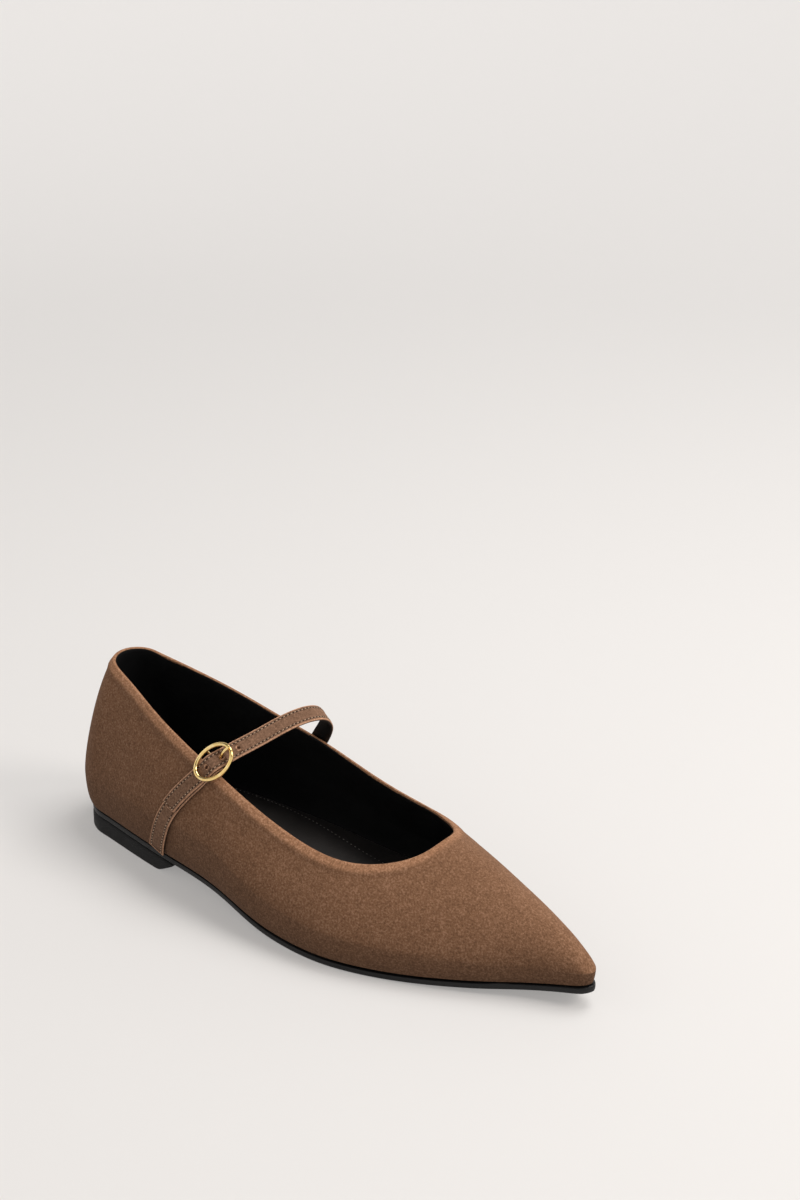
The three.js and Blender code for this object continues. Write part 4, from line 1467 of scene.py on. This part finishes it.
@dataclass
class Bottom:
    """The sole, the heel and the insole, with the insole's stitch row."""

    last: Last
    frame: Frame
    palette: Palette
    stitch_line: tuple[tuple[float, float], ...] = (
        (52.0, 25.5), (65.0, 27.0), (81.5, 27.8), (97.7, 27.2), (112.0, 26.4), (125.0, 25.9), (150.0, 24.5),
        (175.0, 20.0),
    )
    insole_top: float = 2.9
    insole_press: float = 1.3
    subdivisions: int = 2
    crispness: float = 0.85
    side_turn: float = 0.3
    heel_corner: float = 20.0
    stitch_length: float = 1.1
    stitch_radius: float = 0.2
    stitch_pitch: float = 2.2

    def smooth_copy(self, node: str, name: str, material: bpy.types.Material, slot: Slot,
                    corner: float = 50.0, spread: float = 0.0) -> None:
        """Replaces a faceted solid by a merged and rounded copy.

        Args:
            node: The solid's name.
            name: The copy's name.
            material: Its material.
            slot: The record's slot.
            corner: Angle in degrees above which an edge stays crisp.
            spread: How far its sides move out, to press against what stands round it.
        """
        bm = bmesh.new()
        bm.from_mesh(bpy.data.objects[node].data)
        bmesh.ops.remove_doubles(bm, verts=bm.verts, dist=MERGE_DISTANCE * MM)
        bmesh.ops.join_triangles(bm, faces=bm.faces, angle_face_threshold=0.3, angle_shape_threshold=0.9)
        bm.normal_update()
        for vertex in bm.verts:
            level = Vector((vertex.normal.x, vertex.normal.y, 0.0))
            if level.length > self.side_turn:
                vertex.co += level.normalized() * spread * MM
        crease = bm.edges.layers.float.new("crease_edge")
        for edge in bm.edges:
            if edge.calc_face_angle(0.0) > math.radians(corner):
                edge[crease] = self.crispness
        obj = new_object(name, bm, [material])
        finer = obj.modifiers.new("finer", "SUBSURF")
        finer.levels = finer.render_levels = self.subdivisions
        bake_modifiers(obj)
        settle(obj, slot, node)

    def make(self) -> None:
        """Dresses the sole, the heel and the insole and lays the insole's stitches."""
        palette = self.palette
        self.smooth_copy("outsole", "outsole_edge", palette.sole, Slot.SOLE)
        self.smooth_copy("heel_block", "heel_dressed", palette.heel, Slot.HEEL, corner=self.heel_corner)
        self.smooth_copy("insole", "insole_sock", palette.sock, Slot.SOCK, spread=self.insole_press)
        stitches = Stitching("insole_stitches", palette.sock_thread, self.stitch_length, self.stitch_radius)
        places = []
        x, end = self.stitch_line[0][0], self.stitch_line[-1][0]
        while x < end:
            y = along(self.stitch_line, x)
            height = self.last.feather(x) + self.insole_top
            places.append(Placement(self.frame.place(Vector((x, y, height))), Vector((0, 0, 1))))
            x += self.stitch_pitch
        stitches.row(places)
        stitches.finish(Slot.SOCK)


@dataclass(frozen=True)
class Lamp:
    """A soft square light that points at the shoe."""

    name: str
    place: tuple[float, float, float]
    size: float
    watts: float
    color: tuple[float, float, float] = (1.0, 1.0, 1.0)
    aim_height: float = 0.03

    def hang(self) -> None:
        """Hangs the light in the scene."""
        data = bpy.data.lights.new(self.name, "AREA")
        data.shape = "SQUARE"
        data.size = self.size
        data.energy = self.watts
        data.color = self.color
        obj = bpy.data.objects.new(self.name, data)
        obj.location = self.place
        aim = Vector((0.0, 0.0, self.aim_height)) - Vector(self.place)
        obj.rotation_euler = aim.to_track_quat("-Z", "Y").to_euler()
        bpy.context.scene.collection.objects.link(obj)


@dataclass
class Studio:
    """The pale floor, the soft light and the camera at the photograph's angle."""

    frame: Frame
    azimuth: float = 36.155
    elevation: float = 21.189
    roll: float = 1.285
    distance: float = 662.064
    focal_px: float = 1603.072
    target_px: tuple[float, float] = (321.042, 848.476)
    target: tuple[float, float, float] = (126.9, 0.0, 20.0)
    image_width: int = 800
    image_height: int = 1200
    floor_color: tuple[float, float, float] = (0.48, 0.466, 0.453)
    floor_glow: float = 0.28
    glow_color: tuple[float, float, float] = (1.0, 0.975, 0.955)
    wall_glow: float = 1.95
    even_from: float = 0.4
    wall_distance: float = 3.0
    wall_bend: float = 1.6
    wall_height: float = 2.4
    bend_steps: int = 12
    turn_steps: int = 48
    world_color: tuple[float, float, float] = (1.0, 0.99, 0.98)
    world_strength: float = 0.21
    lamps: tuple[Lamp, ...] = (
        Lamp("overhead", (0.3, 0.6, 1.6), 1.0, 18.0),
        Lamp("back_key", (0.95, 0.25, 0.9), 0.45, 7.0, (1.0, 0.96, 0.92)),
        Lamp("left_fill", (-1.0, -0.7, 0.9), 0.9, 0.6),
    )

    def camera(self) -> None:
        """Sets the camera where the photograph's stood."""
        a, e, r = (math.radians(v) for v in (self.azimuth, self.elevation, self.roll))
        back = Vector((math.sin(a) * math.cos(e), -math.cos(a) * math.cos(e), math.sin(e)))
        right = Vector((math.cos(a), math.sin(a), 0.0))
        up = back.cross(right)
        right, up = right * math.cos(r) + up * math.sin(r), up * math.cos(r) - right * math.sin(r)
        u = (self.target_px[0] - self.image_width / 2) / self.focal_px * self.distance
        v = -(self.target_px[1] - self.image_height / 2) / self.focal_px * self.distance
        place = Vector(self.target) - (right * u + up * v - back * self.distance)
        data = bpy.data.cameras.new("camera")
        data.sensor_width = 36.0
        data.lens = self.focal_px * data.sensor_width / self.image_height
        data.clip_start = 0.01
        obj = bpy.data.objects.new("camera", data)
        turn = Matrix((right, up, back)).transposed().to_4x4()
        obj.matrix_world = Matrix.Translation(self.frame.place(place)) @ turn
        bpy.context.scene.collection.objects.link(obj)
        bpy.context.scene.camera = obj

    def sweep(self) -> bpy.types.Object:
        """A floor that bends up into a wall all round, turned from one profile.

        Returns:
            The floor.
        """
        bm = bmesh.new()
        profile = [bm.verts.new((0.0, 0.0, 0.0))]
        turn = self.wall_bend
        for i in range(self.bend_steps + 1):
            angle = i / self.bend_steps * math.pi / 2
            spot = (self.wall_distance - turn + turn * math.sin(angle), 0.0, turn * (1 - math.cos(angle)))
            profile.append(bm.verts.new(spot))
        profile.append(bm.verts.new((self.wall_distance, 0.0, self.wall_height)))
        edges = [bm.edges.new(pair) for pair in zip(profile, profile[1:])]
        bmesh.ops.spin(bm, geom=[*profile, *edges], cent=(0, 0, 0), axis=(0, 0, 1), angle=2 * math.pi,
                       steps=self.turn_steps, use_merge=True)
        bmesh.ops.remove_doubles(bm, verts=bm.verts, dist=MM)
        bmesh.ops.recalc_face_normals(bm, faces=bm.faces)
        return new_object("floor", bm, [self.floor_material()])

    def make(self) -> None:
        """Builds the floor, the lights, the world and the camera."""
        self.sweep()
        world = bpy.data.worlds.new("studio")
        world.use_nodes = True
        background = world.node_tree.nodes["Background"]
        background.inputs["Color"].default_value = (*self.world_color, 1.0)
        background.inputs["Strength"].default_value = self.world_strength
        bpy.context.scene.world = world
        for lamp in self.lamps:
            lamp.hang()
        scene = bpy.context.scene
        scene.view_settings.view_transform = "Standard"
        scene.view_settings.look = "None"
        self.camera()

    def floor_material(self) -> bpy.types.Material:
        """Matte pale paper that glows a little, and more toward the wall, so that it stays even.

        Returns:
            The material.
        """
        material = bpy.data.materials.new("pale_paper")
        material.use_nodes = True
        shader = material.node_tree.nodes["Principled BSDF"]
        shader.inputs["Base Color"].default_value = (*self.floor_color, 1.0)
        shader.inputs["Roughness"].default_value = 0.9
        shader.inputs["Specular IOR Level"].default_value = 0.1
        make = Shader(material.node_tree)
        coords = make.node("ShaderNodeTexCoord").outputs["Object"]
        away = make.node("ShaderNodeVectorMath", {"Vector": coords}, operation="LENGTH").outputs["Value"]
        glow = make.ramp(away, self.even_from, self.wall_distance, 1.0, self.wall_glow)
        color = make.mix(1.0, (*self.glow_color, 1.0), make.grey(glow), "MULTIPLY")
        make.tree.links.new(color, shader.inputs["Emission Color"])
        shader.inputs["Emission Strength"].default_value = self.floor_glow
        return material


def main() -> None:
    """Builds the shoe in order."""
    logging.basicConfig(level=logging.INFO, format="%(name)s: %(message)s")
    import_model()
    last = Last()
    frame = Frame(last)
    palette = Palette()
    Upper(last, frame, palette).make()
    Bottom(last, frame, palette).make()
    Fastening(last, frame, palette).make()
    Studio(frame).make()


if __name__ == "__main__":
    main()
